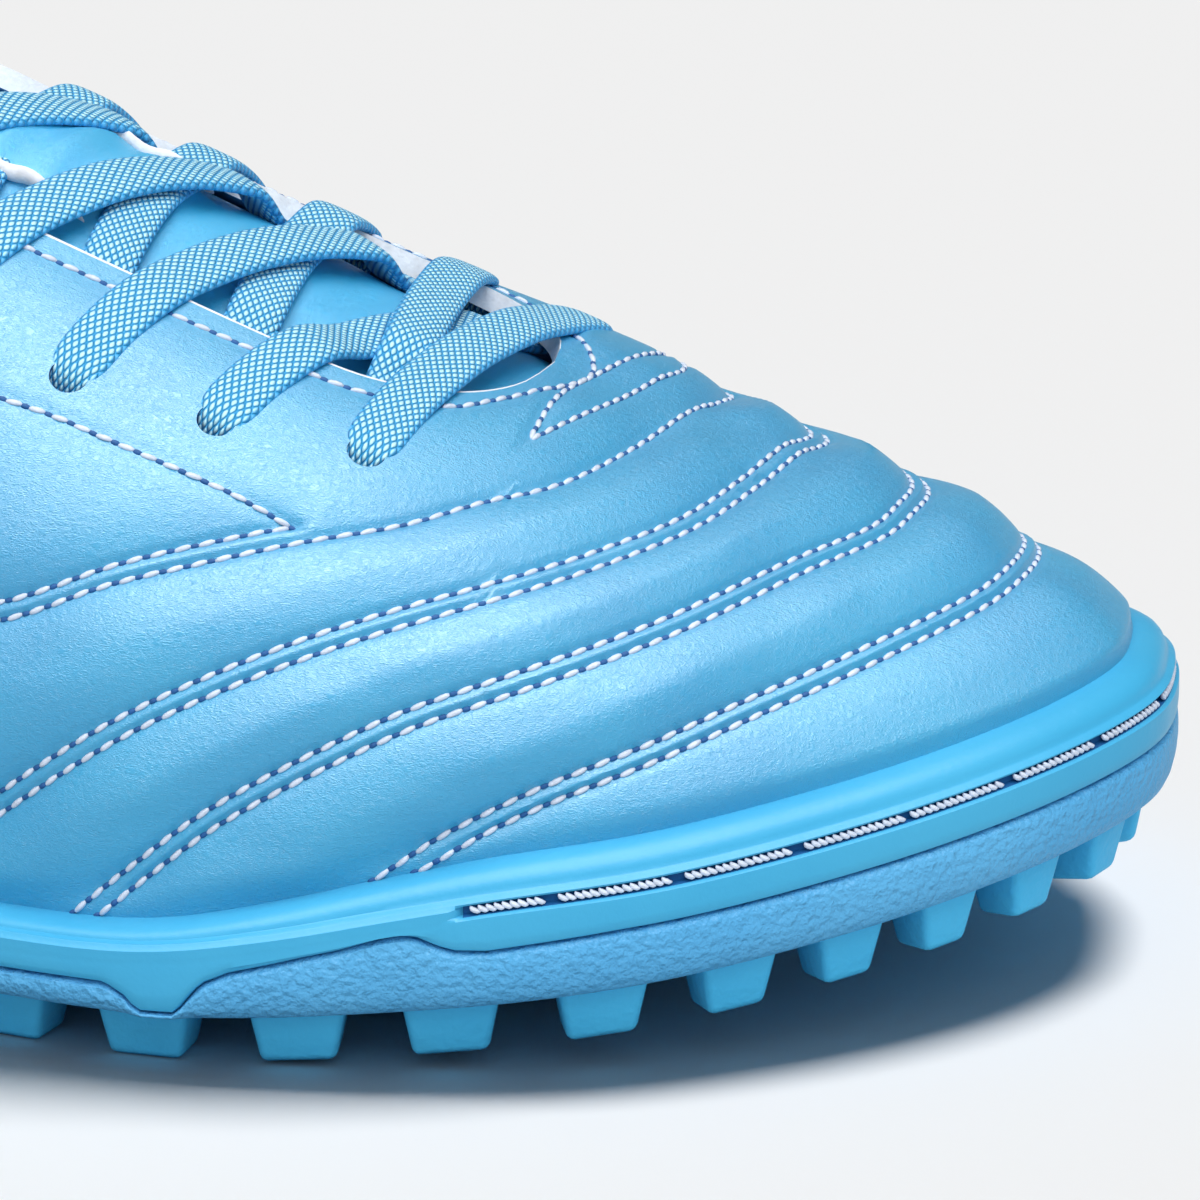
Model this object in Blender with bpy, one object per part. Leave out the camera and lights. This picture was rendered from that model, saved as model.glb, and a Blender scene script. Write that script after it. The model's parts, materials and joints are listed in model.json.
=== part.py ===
"""Turf shoe for the right foot: lugged outsole, cup midsole, hollow upper, tongue, insole, laces.

The shoe stands on its lugs, toe towards +X and the inner side of the foot towards +Y.
Every form follows the outline of the sole, its rise from the floor and the sections of the last.
"""
import math

import bmesh
import bpy
import numpy as np
from mathutils import Vector
from mathutils.bvhtree import BVHTree

# Sole sizes, metres
LENGTH = 0.290
BALL_WIDTH = 0.1033
HEEL_WIDTH = 0.068
LUG_HEIGHT = 0.0055
TOE_SPRING = 0.0113
ARCH_RISE = 0.003
SOLE_WALL = 0.015
PLATE = 0.0026
BOTTOM_INSET = 0.0022
FEATHER_INSET = 0.0049
BEVEL_HEIGHT = 0.0019
BEVEL_DEPTH = 0.0030
CHANNEL_DEPTH = 0.0008
CHANNEL_WIDTH = 0.0011
LUG_LENGTH = 0.0102
LUG_DEPTH = 0.0080
LUG_TAPER = 0.0026
LUG_PITCH = 0.0152
LUG_ROW = 0.0132
LUG_EDGE = 0.0006
PARTING_GROOVE = 0.0006
RIM_WIDTH = 0.0064
CLEARANCE = 0.0003
TURN_STEP = 0.02
SHARE_STEP = 0.004

# Stations, as shares of the length, between which the sole widens, the toe springs and the arch rises
WIDENING = (0.30, 0.62)
SPRING_START = 0.68
SPRING_POWER = 1.66
ARCH = (0.27, 0.52)
CHANNEL_START = 0.775
CHANNEL_SHARE = 0.74

# Bulges of the outsole's side band as shares of its height, and its inset low down
BAND_LOW = 0.30
BAND_FULL = 0.78
BAND_INSET = 0.35

# Lugs: shorter round the toe between two stations, and where the ball's extra ring and the middle row run
TOE_LUGS = (0.78, 0.96)
TOE_LUGS_SHORTER = 0.28
BALL_RING = (0.60, 0.93)
MIDDLE_ROW = (0.125, 0.80)
ROW_OFFSETS = (0.50, 0.00, 0.50)
LUG_KEEP_OFF = 1.25

# Upper, tongue, insole and lace sizes, metres
INSTEP = 0.104
WALL = 0.0020
COLLAR_PADDING = 0.0045
THROAT_HALF = 0.019
THROAT_CURVE = 0.044
EYELET_RADIUS = 0.0020
TONGUE_THICKNESS = 0.0036
TONGUE_HALF = 0.026
TONGUE_GAP = 0.0006
INSOLE_THICKNESS = 0.0040
INSOLE_EDGE = 0.0012
LACE_WIDTH = 0.0058
LACE_THICKNESS = 0.0014
LACE_LIFT = 0.0005

# Share of the length where the throat ends in front, and where the toe's sections start to fan out
THROAT_FRONT = 0.769
THROAT_ROUNDING = 0.069
FAN = 0.86
HEEL_ROUNDING = 0.17

# Stations between which the throat opens, the collar turns into the throat and the padding ends
THROAT_WIDENING = (0.50, 0.75)
COLLAR_TO_THROAT = (0.41, 0.46)
CUT_START = (0.50, 0.60)
LEVELLING = (0.36, 0.48)
PADDING_END = (0.36, 0.46)
PADDING_SHARES = (0.45, 0.85)
THROAT_COUNTED = 0.9
SECTION_CHORD = 0.090
TONGUE_EDGE_THINNER = 0.55
TONGUE_UNDER_VAMP = 0.45

# Station from the heel as a share of the length, offset as a share of the width there, outer side first
OUTLINE = (
    (0.000, 0.000), (0.028, -0.320), (0.097, -0.485), (0.186, -0.537), (0.310, -0.537),
    (0.448, -0.466), (0.569, -0.461), (0.672, -0.511), (0.759, -0.492), (0.845, -0.431),
    (0.914, -0.310), (0.966, -0.166), (0.996, -0.020), (1.000, 0.106), (0.987, 0.245),
    (0.947, 0.364), (0.879, 0.445), (0.793, 0.489), (0.707, 0.489), (0.621, 0.445),
    (0.517, 0.401), (0.397, 0.416), (0.259, 0.456), (0.121, 0.463), (0.034, 0.324),
)

# Station, height of the sole's side as a share of SOLE_WALL, height of the cup's floor the same way,
# share of the side below the parting line
SOLE_SIDE = (
    (0.00, 1.13, 0.80, 0.38), (0.15, 1.10, 0.78, 0.38), (0.30, 0.90, 0.62, 0.38),
    (0.42, 0.68, 0.42, 0.38), (0.52, 0.60, 0.35, 0.38), (0.62, 0.565, 0.33, 0.38),
    (0.67, 0.60, 0.33, 0.35), (0.72, 0.75, 0.34, 0.53), (0.765, 0.90, 0.35, 0.62),
    (0.79, 0.96, 0.35, 0.45), (0.86, 0.99, 0.36, 0.43), (1.00, 0.99, 0.36, 0.45),
)

# Station, height of the ridge as a share of INSTEP, its offset as a share of BALL_WIDTH
RIDGE = (
    (0.30, 1.085, 0.02), (0.40, 0.997, 0.02), (0.48, 0.922, 0.025), (0.56, 0.837, 0.03),
    (0.64, 0.741, 0.034), (0.72, 0.637, 0.04), (0.76, 0.586, 0.05), (0.81, 0.531, 0.068),
    (0.87, 0.476, 0.087),
)

# Station at the feather line, station where the section meets the top line
SECTION_TOPS = (
    (0.00, 0.031), (0.05, 0.075), (0.12, 0.130), (0.22, 0.215), (0.33, 0.320), (0.44, 0.420),
    (0.52, 0.485), (0.62, 0.590), (0.72, 0.695), (0.80, 0.785), (0.86, 0.860),
)

# Station at the top line, half widths as shares of HEEL_WIDTH and heights as shares of INSTEP
# (outer side, inner side), slope of the wall there in degrees
COLLAR = (
    (0.031, 0.46, 0.43, 0.810, 0.810, 97), (0.075, 0.46, 0.43, 0.775, 0.785, 96),
    (0.130, 0.46, 0.43, 0.715, 0.740, 93), (0.215, 0.47, 0.44, 0.665, 0.700, 89),
    (0.320, 0.48, 0.44, 0.700, 0.735, 82), (0.400, 0.42, 0.39, 0.830, 0.840, 66),
    (0.430, 0.35, 0.33, 0.905, 0.905, 50),
)

# Station at the feather line, outward lean of the wall in degrees, fullness low down and at the top
SECTIONS = (
    (0.00, 13, 0.40, 0.35), (0.20, 6, 0.38, 0.33), (0.42, 3, 0.36, 0.36), (0.55, 5, 0.36, 0.42),
    (0.68, 8, 0.38, 0.50), (0.80, 9, 0.40, 0.59), (0.90, -18, 0.33, 0.53), (1.00, -42, 0.29, 0.43),
)

# Station along the tongue, its half width there as a share of TONGUE_HALF
TONGUE = (
    (0.330, 0.42), (0.336, 0.62), (0.350, 0.74), (0.380, 0.78), (0.410, 0.70), (0.450, 0.72),
    (0.500, 0.85), (0.560, 0.96), (0.620, 0.96), (0.680, 0.92), (0.730, 0.83), (0.765, 0.68),
    (0.785, 0.52),
)

# Feather station and share up the section of each eyelet, front pair first
OUTER_EYELETS = ((0.746, 0.653), (0.696, 0.664), (0.644, 0.703), (0.593, 0.76), (0.542, 0.80))
INNER_EYELETS = ((0.7825, 0.718), (0.738, 0.705), (0.694, 0.72), (0.650, 0.745), (0.606, 0.78))

OUTER, INNER = -1, 1


def ease(t):
    """Smooth step from 0 to 1."""
    t = np.clip(t, 0.0, 1.0)
    return t * t * (3 - 2 * t)


def ramp(station, between):
    """Smooth step from 0 to 1 between two stations."""
    start, end = between
    return ease((station - start) / (end - start))


def read(table, column, station):
    """Reads a column of a table at a station, on a smooth curve through its rows."""
    xs = np.array([row[0] for row in table], float)
    ys = np.array([row[column] for row in table], float)
    slopes = np.gradient(ys, xs)
    x = np.clip(np.asarray(station, float), xs[0], xs[-1])
    i = np.clip(np.searchsorted(xs, x, side="right") - 1, 0, len(xs) - 2)
    h = xs[i + 1] - xs[i]
    t = (x - xs[i]) / h
    rise = ys[i] * (1 + 2 * t) * (1 - t) ** 2 + ys[i + 1] * t * t * (3 - 2 * t)
    return rise + h * t * (1 - t) * (slopes[i] * (1 - t) - slopes[i + 1] * t)


def unit(v):
    """Vectors of length one."""
    return v / np.linalg.norm(v, axis=-1)[..., None]


def closed_curve(points, steps=30):
    """Smooth closed curve through the points."""
    p = np.asarray(points, float)
    t = np.linspace(0, 1, steps, endpoint=False)[:, None]
    spans = []
    for i in range(len(p)):
        a, b, c, d = p[i - 1], p[i], p[(i + 1) % len(p)], p[(i + 2) % len(p)]
        cubic = (3 * b - a - 3 * c + d) * t ** 3 + (2 * a - 5 * b + 4 * c - d) * t * t
        spans.append(0.5 * (cubic + (c - a) * t + 2 * b))
    return np.vstack(spans)


def outline_sides():
    """Outer and inner side of the sole's outline, each from heel to toe."""
    points = []
    for station, offset in OUTLINE:
        width = HEEL_WIDTH + (BALL_WIDTH - HEEL_WIDTH) * ramp(station, WIDENING)
        points.append((station * LENGTH, offset * width))
    curve = closed_curve(points)
    curve = np.roll(curve, -curve[:, 0].argmin(), axis=0)
    toe = curve[:, 0].argmax()
    return curve[:toe + 1], np.vstack([curve[toe:], curve[:1]])[::-1]


OUTER_SIDE, INNER_SIDE = outline_sides()
HEEL_X, TOE_X = OUTER_SIDE[0, 0], OUTER_SIDE[-1, 0]
CENTRE = np.array([
    (HEEL_X + TOE_X) / 2,
    (OUTER_SIDE[:, 1].min() + INNER_SIDE[:, 1].max()) / 2,
    0.0,
])


def plan(angle):
    """Outline at an angle round the sole: 0 is the heel, pi the toe, the outer side comes first."""
    angle = np.mod(angle, 2 * math.pi)
    x = HEEL_X + (TOE_X - HEEL_X) * (1 - np.cos(angle)) / 2
    outer = np.interp(x, OUTER_SIDE[:, 0], OUTER_SIDE[:, 1])
    inner = np.interp(x, INNER_SIDE[:, 0], INNER_SIDE[:, 1])
    return np.stack([x, np.where(angle <= math.pi, outer, inner)], -1)


def outward(angle):
    """Level direction square to the outline, away from the foot."""
    along = unit(plan(angle + TURN_STEP) - plan(angle - TURN_STEP))
    return np.stack([along[..., 1], -along[..., 0]], -1)


def angle_at(side, station):
    """Angle round the sole of a station on one side."""
    x = np.clip(station * LENGTH, HEEL_X, TOE_X)
    angle = np.arccos(1 - 2 * (x - HEEL_X) / (TOE_X - HEEL_X))
    return angle if side == OUTER else 2 * math.pi - angle


def rise(x):
    """Height of the lugs' tips above the floor: toe spring and arch."""
    s = x / LENGTH
    spring = TOE_SPRING * np.clip((s - SPRING_START) / (1 - SPRING_START), 0, None) ** SPRING_POWER
    share = np.clip((s - ARCH[0]) / (ARCH[1] - ARCH[0]), 0, 1)
    return spring + ARCH_RISE * np.sin(math.pi * share) ** 2


def plate_bottom(x):
    """Height of the outsole's underside between the lugs."""
    return LUG_HEIGHT + rise(x)


def side_height(x):
    """Height of the sole's side above its bottom edge."""
    return SOLE_WALL * read(SOLE_SIDE, 1, x / LENGTH)


def cup_floor(x):
    """Height of the floor that the upper and the insole stand on."""
    return plate_bottom(x) + SOLE_WALL * read(SOLE_SIDE, 2, x / LENGTH)


def parting(x):
    """Height of the line between outsole and midsole."""
    return plate_bottom(x) + side_height(x) * read(SOLE_SIDE, 3, x / LENGTH)


def ring(angles, inset, height):
    """Points round the sole at an inset from its outline; height is a function of the station."""
    p = plan(angles)
    q = p - outward(angles) * inset
    return np.column_stack([q, height(p[:, 0])])


def finish(name, colour, roughness):
    """Principled material of one piece."""
    material = bpy.data.materials.new(name)
    material.use_nodes = True
    shader = material.node_tree.nodes["Principled BSDF"]
    shader.inputs["Base Color"].default_value = (*colour, 1)
    shader.inputs["Roughness"].default_value = roughness
    shader.inputs["Metallic"].default_value = 0.0
    return material


def add_object(name, verts, faces, material, flat_angle=40):
    """Makes an object from points and faces, joins double points and points its faces outwards."""
    mesh = bpy.data.meshes.new(name)
    mesh.from_pydata([tuple(p) for p in np.asarray(verts) - CENTRE], [], faces)
    bm = bmesh.new()
    bm.from_mesh(mesh)
    bmesh.ops.remove_doubles(bm, verts=bm.verts, dist=0.00001)
    bmesh.ops.recalc_face_normals(bm, faces=bm.faces)
    bm.to_mesh(mesh)
    bm.free()
    mesh.shade_smooth()
    mesh.set_sharp_from_angle(angle=math.radians(flat_angle))
    mesh.materials.append(material)
    obj = bpy.data.objects.new(name, mesh)
    bpy.context.scene.collection.objects.link(obj)
    return obj


def ladder(first, count, flip):
    """Faces that close a ring from its outer to its inner side, heel to toe."""
    half = count // 2
    faces = []
    for k in range(half):
        face = [first + k, first + k + 1, first + (count - k - 1) % count, first + (count - k) % count]
        face = list(dict.fromkeys(face))
        faces.append(face[::-1] if flip else face)
    return faces


def stack(name, rings, material, turned=None):
    """Closed solid of rings of points, one on the other, closed at the first and the last.

    The faces between two rings are split along one diagonal, and along the other on the turned
    level, so that two solids that meet there have the same folds.
    """
    count = len(rings[0])
    faces = ladder(0, count, True)
    for level in range(len(rings) - 1):
        low, high = level * count, (level + 1) * count
        for k in range(count):
            n = (k + 1) % count
            if level == turned:
                faces.append([low + k, low + n, high + k])
                faces.append([low + n, high + n, high + k])
            else:
                faces.append([low + k, low + n, high + n])
                faces.append([low + k, high + n, high + k])
    faces += ladder((len(rings) - 1) * count, count, False)
    return add_object(name, np.vstack(rings), faces, material)


def lug(verts, faces, centre, along, length, depth):
    """Adds one tapered lug unless it would touch one already there; its tip follows the sole's rise."""
    for k in range(0, len(verts), 8):
        if np.linalg.norm(np.mean(verts[k:k + 4], axis=0)[:2] - centre) < length * LUG_KEEP_OFF:
            return
    first = len(verts)
    across = np.array([along[1], -along[0]])
    levels = ((0.0, 0.0), (LUG_TAPER, 1.0))
    for taper, down in levels:
        for a, b in ((-1, -1), (1, -1), (1, 1), (-1, 1)):
            p = centre + a * along * (length - taper) / 2 + b * across * (depth - taper) / 2
            top = plate_bottom(p[0]) + PLATE / 2
            verts.append((*p, rise(p[0]) if down else top))
    faces.append([first, first + 3, first + 2, first + 1])
    for k in range(4):
        n = (k + 1) % 4
        faces.append([first + k, first + n, first + 4 + n, first + 4 + k])
    faces.append([first + 4, first + 5, first + 6, first + 7])


def toe_share(station):
    """How much shorter lugs and their pitch are round the toe."""
    return 1 - TOE_LUGS_SHORTER * ramp(station, TOE_LUGS)


def lug_angles(inset, offset):
    """Angles of evenly pitched lugs round a ring, closer at the toe."""
    angles = np.linspace(0, 2 * math.pi, 721)
    p = plan(angles)
    q = p - outward(angles) * inset
    pitch = LUG_PITCH * toe_share(p[:, 0] / LENGTH)
    steps = np.linalg.norm(np.diff(q, axis=0), axis=1) / pitch[1:]
    phase = np.concatenate([[0], np.cumsum(steps)])
    count = round(phase[-1])
    return np.interp((np.arange(count) + offset) * phase[-1] / count, phase, angles)


def lug_mesh():
    """All lugs: an outer ring, a staggered ring inside it, one more at the ball and a middle row."""
    verts, faces = [], []
    edge = BOTTOM_INSET + LUG_EDGE + LUG_DEPTH / 2
    for level, offset in enumerate(ROW_OFFSETS):
        inset = edge + level * LUG_ROW
        for angle in lug_angles(inset, offset):
            p, normal = plan(angle), outward(angle)
            station = p[0] / LENGTH
            if level == 2 and not BALL_RING[0] < station < BALL_RING[1]:
                continue
            along = np.array([-normal[1], normal[0]])
            lug(verts, faces, p - normal * inset, along, LUG_LENGTH * toe_share(station), LUG_DEPTH)
    first, last = LENGTH * MIDDLE_ROW[0], LENGTH * MIDDLE_ROW[1]
    count = int((last - first) / LUG_PITCH)
    for x in np.linspace(first, last, count + 1):
        y = (plan(angle_at(OUTER, x / LENGTH))[1] + plan(angle_at(INNER, x / LENGTH))[1]) / 2
        lug(verts, faces, np.array([x, y]), np.array([0.0, 1.0]), LUG_DEPTH, LUG_DEPTH)
    return verts, faces


def build_outsole(angles, material):
    """Plate with its side band up to the parting line, and the lugs under it."""
    def band(share):
        return lambda x: plate_bottom(x) + share * (parting(x) - plate_bottom(x))

    rings = [
        ring(angles, BOTTOM_INSET, plate_bottom),
        ring(angles, BOTTOM_INSET * BAND_INSET, band(BAND_LOW)),
        ring(angles, 0.0, band(BAND_FULL)),
        ring(angles, PARTING_GROOVE, parting),
        ring(angles, PARTING_GROOVE + RIM_WIDTH, lambda x: plate_bottom(x) + PLATE),
    ]
    outsole = stack("outsole", rings, material)
    verts, faces = lug_mesh()
    lugs = add_object("lug_guide", verts, faces, material)
    lugs.hide_render = True
    lugs.display_type = "WIRE"
    union = outsole.modifiers.new("lugs", "BOOLEAN")
    union.operation = "UNION"
    union.solver = "EXACT"
    union.object = lugs
    return outsole


def build_midsole(angles, material):
    """Smooth cup band with its bevelled top edge and the stitch channel round the toe."""
    stations = plan(angles)[:, 0] / LENGTH
    depth = CHANNEL_DEPTH * ramp(stations, (CHANNEL_START, CHANNEL_START + 0.02))

    def feather(x):
        return plate_bottom(x) + side_height(x)

    def channel(x):
        return plate_bottom(x) + CHANNEL_SHARE * side_height(x)

    rings = [
        ring(angles, PARTING_GROOVE + RIM_WIDTH, lambda x: plate_bottom(x) + PLATE + CLEARANCE),
        ring(angles, PARTING_GROOVE, lambda x: parting(x) + CLEARANCE),
        ring(angles, 0.0, lambda x: parting(x) + CLEARANCE + PARTING_GROOVE),
        ring(angles, 0.0, lambda x: channel(x) - CHANNEL_WIDTH / 2),
        ring(angles, 0.0, channel),
        ring(angles, 0.0, lambda x: channel(x) + CHANNEL_WIDTH / 2),
        ring(angles, FEATHER_INSET - BEVEL_DEPTH, lambda x: feather(x) - BEVEL_HEIGHT),
        ring(angles, FEATHER_INSET - CLEARANCE, feather),
        ring(angles, FEATHER_INSET - CLEARANCE, cup_floor),
    ]
    rings[4][:, :2] -= outward(angles) * depth[:, None]
    return stack("midsole", rings, material, turned=0)


def build_insole(angles, material):
    """Sock on the floor of the cup, raised a little at heel and arch."""
    inset = FEATHER_INSET + WALL + 2 * CLEARANCE

    def top(x):
        return cup_floor(x) + CLEARANCE + INSOLE_THICKNESS

    rings = [
        ring(angles, inset, lambda x: cup_floor(x) + CLEARANCE),
        ring(angles, inset, lambda x: top(x) - INSOLE_EDGE),
        ring(angles, inset + INSOLE_EDGE, top),
    ]
    return stack("insole", rings, material)


def half_gap(station):
    """Half width of the throat at its rounded front end."""
    u = np.clip((station - THROAT_FRONT + THROAT_ROUNDING) / THROAT_ROUNDING, 0, 1)
    return THROAT_HALF * np.sqrt(1 - u * u)


def spread(station):
    """Half distance between the two sides' top lines along the throat."""
    return THROAT_HALF * (1 - ramp(station, THROAT_WIDENING))


def ridge_slope(station):
    """Fall of the ridge towards the toe."""
    step = 0.005
    fall = read(RIDGE, 1, station + step) - read(RIDGE, 1, station - step)
    return INSTEP * fall / (2 * step * LENGTH)


def top_line(angle):
    """Where each section ends: a point, the wall's slope there and its station."""
    side = np.where(np.mod(angle, 2 * math.pi) <= math.pi, -1.0, 1.0)
    station = (1 - np.cos(angle)) / 2
    top = np.where(station < FAN, read(SECTION_TOPS, 1, station), FAN)
    in_throat = ramp(top, COLLAR_TO_THROAT)
    half = spread(top)
    sag = THROAT_CURVE - np.sqrt(THROAT_CURVE ** 2 - half ** 2)
    height = INSTEP * read(RIDGE, 1, top) - sag
    slope = np.arcsin(half / THROAT_CURVE)
    heel_round = np.clip((top - COLLAR[0][0]) / HEEL_ROUNDING, 0, 1)
    collar_half = HEEL_WIDTH * np.where(side < 0, read(COLLAR, 1, top), read(COLLAR, 2, top))
    collar_half = collar_half * np.sqrt(heel_round * (2 - heel_round))
    collar_height = INSTEP * np.where(side < 0, read(COLLAR, 3, top), read(COLLAR, 4, top))
    collar_slope = np.radians(read(COLLAR, 5, top))
    half = in_throat * half + (1 - in_throat) * collar_half
    height = in_throat * height + (1 - in_throat) * collar_height
    slope = in_throat * slope + (1 - in_throat) * collar_slope
    middle = BALL_WIDTH * read(RIDGE, 2, top) * ease((top - 0.05) / 0.3)
    return np.stack([top * LENGTH, middle + side * half, height], -1), slope, top


def throat_cut(angle):
    """Share of each section that is left below the throat's edge."""
    top = top_line(angle)[2]
    gap = np.clip(half_gap(top) - THROAT_COUNTED * spread(top), 0, None) * ramp(top, CUT_START)
    return 1 - gap / SECTION_CHORD


def last_surface(angle, t):
    """Outside of the upper: t runs up each section from the feather line to the top line."""
    angle, t = np.broadcast_arrays(np.asarray(angle, float), np.asarray(t, float))
    foot, normal = plan(angle), outward(angle)
    x = foot[..., 0]
    low = np.concatenate(
        [foot - normal * FEATHER_INSET, (plate_bottom(x) + side_height(x))[..., None]], -1)
    high, slope, top = top_line(angle)
    over = ramp(top, LEVELLING)[..., None]
    level = unit(over * unit(low[..., :2] - high[..., :2]) + (1 - over) * normal)
    fall = over[..., 0] * ridge_slope(np.minimum(top, FAN - 0.006)) * level[..., 0]
    down = unit(np.concatenate([level, fall[..., None]], -1)) * np.cos(slope)[..., None]
    down[..., 2] -= np.sin(slope)
    lean = np.radians(read(SECTIONS, 1, x / LENGTH))[..., None]
    up = np.concatenate([normal * np.sin(lean), np.cos(lean)], -1)
    chord = np.linalg.norm(high - low, axis=-1)[..., None]
    low_handle = low + up * chord * read(SECTIONS, 2, x / LENGTH)[..., None]
    high_handle = high + down * chord * read(SECTIONS, 3, x / LENGTH)[..., None]
    t = t[..., None]
    lower = (1 - t) ** 3 * low + 3 * (1 - t) ** 2 * t * low_handle
    return lower + 3 * (1 - t) * t * t * high_handle + t ** 3 * high


def surface_normal(angle, t):
    """Direction square to the outside of the upper, pointing out."""
    d = SHARE_STEP
    around = last_surface(angle + d, t) - last_surface(angle - d, t)
    upward = last_surface(angle, np.minimum(t + d, 1)) - last_surface(angle, np.maximum(t - d, 0))
    normal = unit(np.cross(around, upward))
    _, slope, top = top_line(np.asarray(angle, float))
    ridge = unit(np.stack([-ridge_slope(np.minimum(top, FAN - 0.006)), 0 * top, 1 + 0 * top], -1))
    on_ridge = (np.asarray(t) > 0.999) & (spread(top) < 1e-9)
    return np.where(on_ridge[..., None], ridge, normal)


def column_angles(count):
    """Angles of the columns of points that sole and upper share, closer at the throat's front end."""
    base = list(np.linspace(0, math.pi, count // 2 + 1))
    stations = [row[0] for row in SECTION_TOPS]
    tops = [row[1] for row in SECTION_TOPS]
    for share in (0.0, 0.03, 0.12, 0.3, 0.6):
        top = THROAT_FRONT - share * THROAT_ROUNDING
        fine = np.linspace(stations[0], stations[-1], 4000)
        station = fine[np.abs(read(SECTION_TOPS, 1, fine) - top).argmin()]
        base.append(float(angle_at(OUTER, station)))
    base = sorted(base)
    kept = [base[0]]
    for angle in base[1:]:
        if angle - kept[-1] > 0.012:
            kept.append(angle)
    kept[-1] = math.pi
    return np.array(kept + [2 * math.pi - a for a in kept[-2:0:-1]])


def build_upper(angles, material):
    """Hollow shell: outside, inside a wall's thickness away, and rims at collar, throat and foot."""
    count = len(angles)
    shares = np.linspace(0, 1, 11)
    keep = throat_cut(angles)
    t = shares[:, None] * keep[None]
    grid_angle = np.broadcast_to(angles, t.shape)
    outside = last_surface(grid_angle, t)
    normals = surface_normal(grid_angle, t)
    top = top_line(angles)[2]
    padded = COLLAR_PADDING * (1 - ramp(top, PADDING_END))
    thickness = WALL + padded[None] * ramp(shares[:, None], PADDING_SHARES)
    inside = outside - normals * thickness[..., None]
    foot, normal = plan(angles), outward(angles)
    skirt = cup_floor(foot[:, 0]) + CLEARANCE
    outside_foot = np.column_stack([foot - normal * FEATHER_INSET, skirt])
    inside_foot = np.column_stack([foot - normal * (FEATHER_INSET + WALL), skirt])
    inside[0] = np.column_stack([foot - normal * (FEATHER_INSET + WALL), outside[0][:, 2]])
    outer_rows = [outside_foot, *outside]
    inner_rows = [inside_foot, *inside]
    rows = len(outer_rows)
    verts = np.vstack(outer_rows + inner_rows)
    faces = []
    inner = rows * count
    last = (rows - 1) * count
    is_open = (keep < 1 - 1e-9) | (spread(top) > 1e-9) | (top < 0.5)
    for k in range(count):
        n = (k + 1) % count
        for level in range(rows - 1):
            a, b = level * count, (level + 1) * count
            faces.append([a + k, a + n, b + n, b + k])
            faces.append([inner + a + n, inner + a + k, inner + b + k, inner + b + n])
        faces.append([k, inner + k, inner + n, n])
        if is_open[k] or is_open[n]:
            faces.append([last + k, last + n, inner + last + n, inner + last + k])
    upper = add_object("upper", verts, faces, material)
    cut = upper.modifiers.new("eyelets", "BOOLEAN")
    cut.operation = "DIFFERENCE"
    cut.solver = "EXACT"
    cut.object = eyelet_punches(material)
    return upper


def eyelet_point(side, number):
    """Place and direction of one eyelet on the outside of the upper."""
    station, share = (OUTER_EYELETS if side == OUTER else INNER_EYELETS)[number]
    angle = angle_at(side, station)
    return last_surface(angle, share), surface_normal(angle, share)


def eyelet_punches(material):
    """Round cutters through both facings."""
    bm = bmesh.new()
    for side in (OUTER, INNER):
        for number in range(len(OUTER_EYELETS)):
            point, normal = eyelet_point(side, number)
            turn = Vector(normal).to_track_quat("Z", "Y").to_matrix().to_4x4()
            turn.translation = Vector(point - CENTRE)
            bmesh.ops.create_cone(bm, cap_ends=True, segments=12, radius1=EYELET_RADIUS,
                                  radius2=EYELET_RADIUS, depth=WALL * 5, matrix=turn)
    mesh = bpy.data.meshes.new("eyelet_punches")
    bm.to_mesh(mesh)
    bm.free()
    mesh.materials.append(material)
    punches = bpy.data.objects.new("eyelet_punches", mesh)
    bpy.context.scene.collection.objects.link(punches)
    punches.hide_render = True
    punches.display_type = "WIRE"
    return punches


def last_skin():
    """The outside of the last with its throat closed, to lay laces and the tongue on."""
    half = np.linspace(angle_at(OUTER, 0.42), math.pi, 90)
    shares = np.linspace(0.3, 1, 30)
    outer = last_surface(half[:, None], shares[None])
    inner = last_surface(2 * math.pi - half[:, None], shares[None])[:, ::-1]
    bridge = []
    for u in np.linspace(0, 1, 9)[1:-1]:
        top = top_line(half)[2]
        y = (2 * u - 1) * spread(top)
        sag = THROAT_CURVE - np.sqrt(THROAT_CURVE ** 2 - y ** 2)
        bridge.append(np.stack([top * LENGTH, BALL_WIDTH * read(RIDGE, 2, top) + y,
                                INSTEP * read(RIDGE, 1, top) - sag], -1))
    grid = np.concatenate([outer, np.stack(bridge, 1), inner], 1)
    rows, columns = grid.shape[:2]
    faces = []
    for i in range(rows - 1):
        for j in range(columns - 1):
            a = i * columns + j
            faces.append((a, a + 1, a + columns + 1, a + columns))
    return BVHTree.FromPolygons([Vector(p) for p in grid.reshape(-1, 3)], faces)


def skin_height(skin, x, y):
    """Height and direction of the closed last above a point."""
    hit, normal, _, _ = skin.ray_cast(Vector((x, y, 1.0)), Vector((0, 0, -1)))
    if hit is None:
        return None
    return hit.z, np.array(normal if normal.z > 0 else -normal)


def tongue_height(skin, x, y):
    """Height of the tongue's top: the throat's arch, a little under the upper."""
    station = x / LENGTH
    middle = BALL_WIDTH * read(RIDGE, 2, station)
    radius = THROAT_CURVE - WALL
    off = min(abs(y - middle), radius * 0.98)
    arch = INSTEP * read(RIDGE, 1, station) - WALL - (radius - math.sqrt(radius ** 2 - off ** 2))
    found = skin_height(skin, x, y) if station > TONGUE_UNDER_VAMP else None
    under = found[0] - WALL / max(found[1][2], 0.4) if found else arch
    return min(float(arch), under) - TONGUE_GAP


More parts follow.
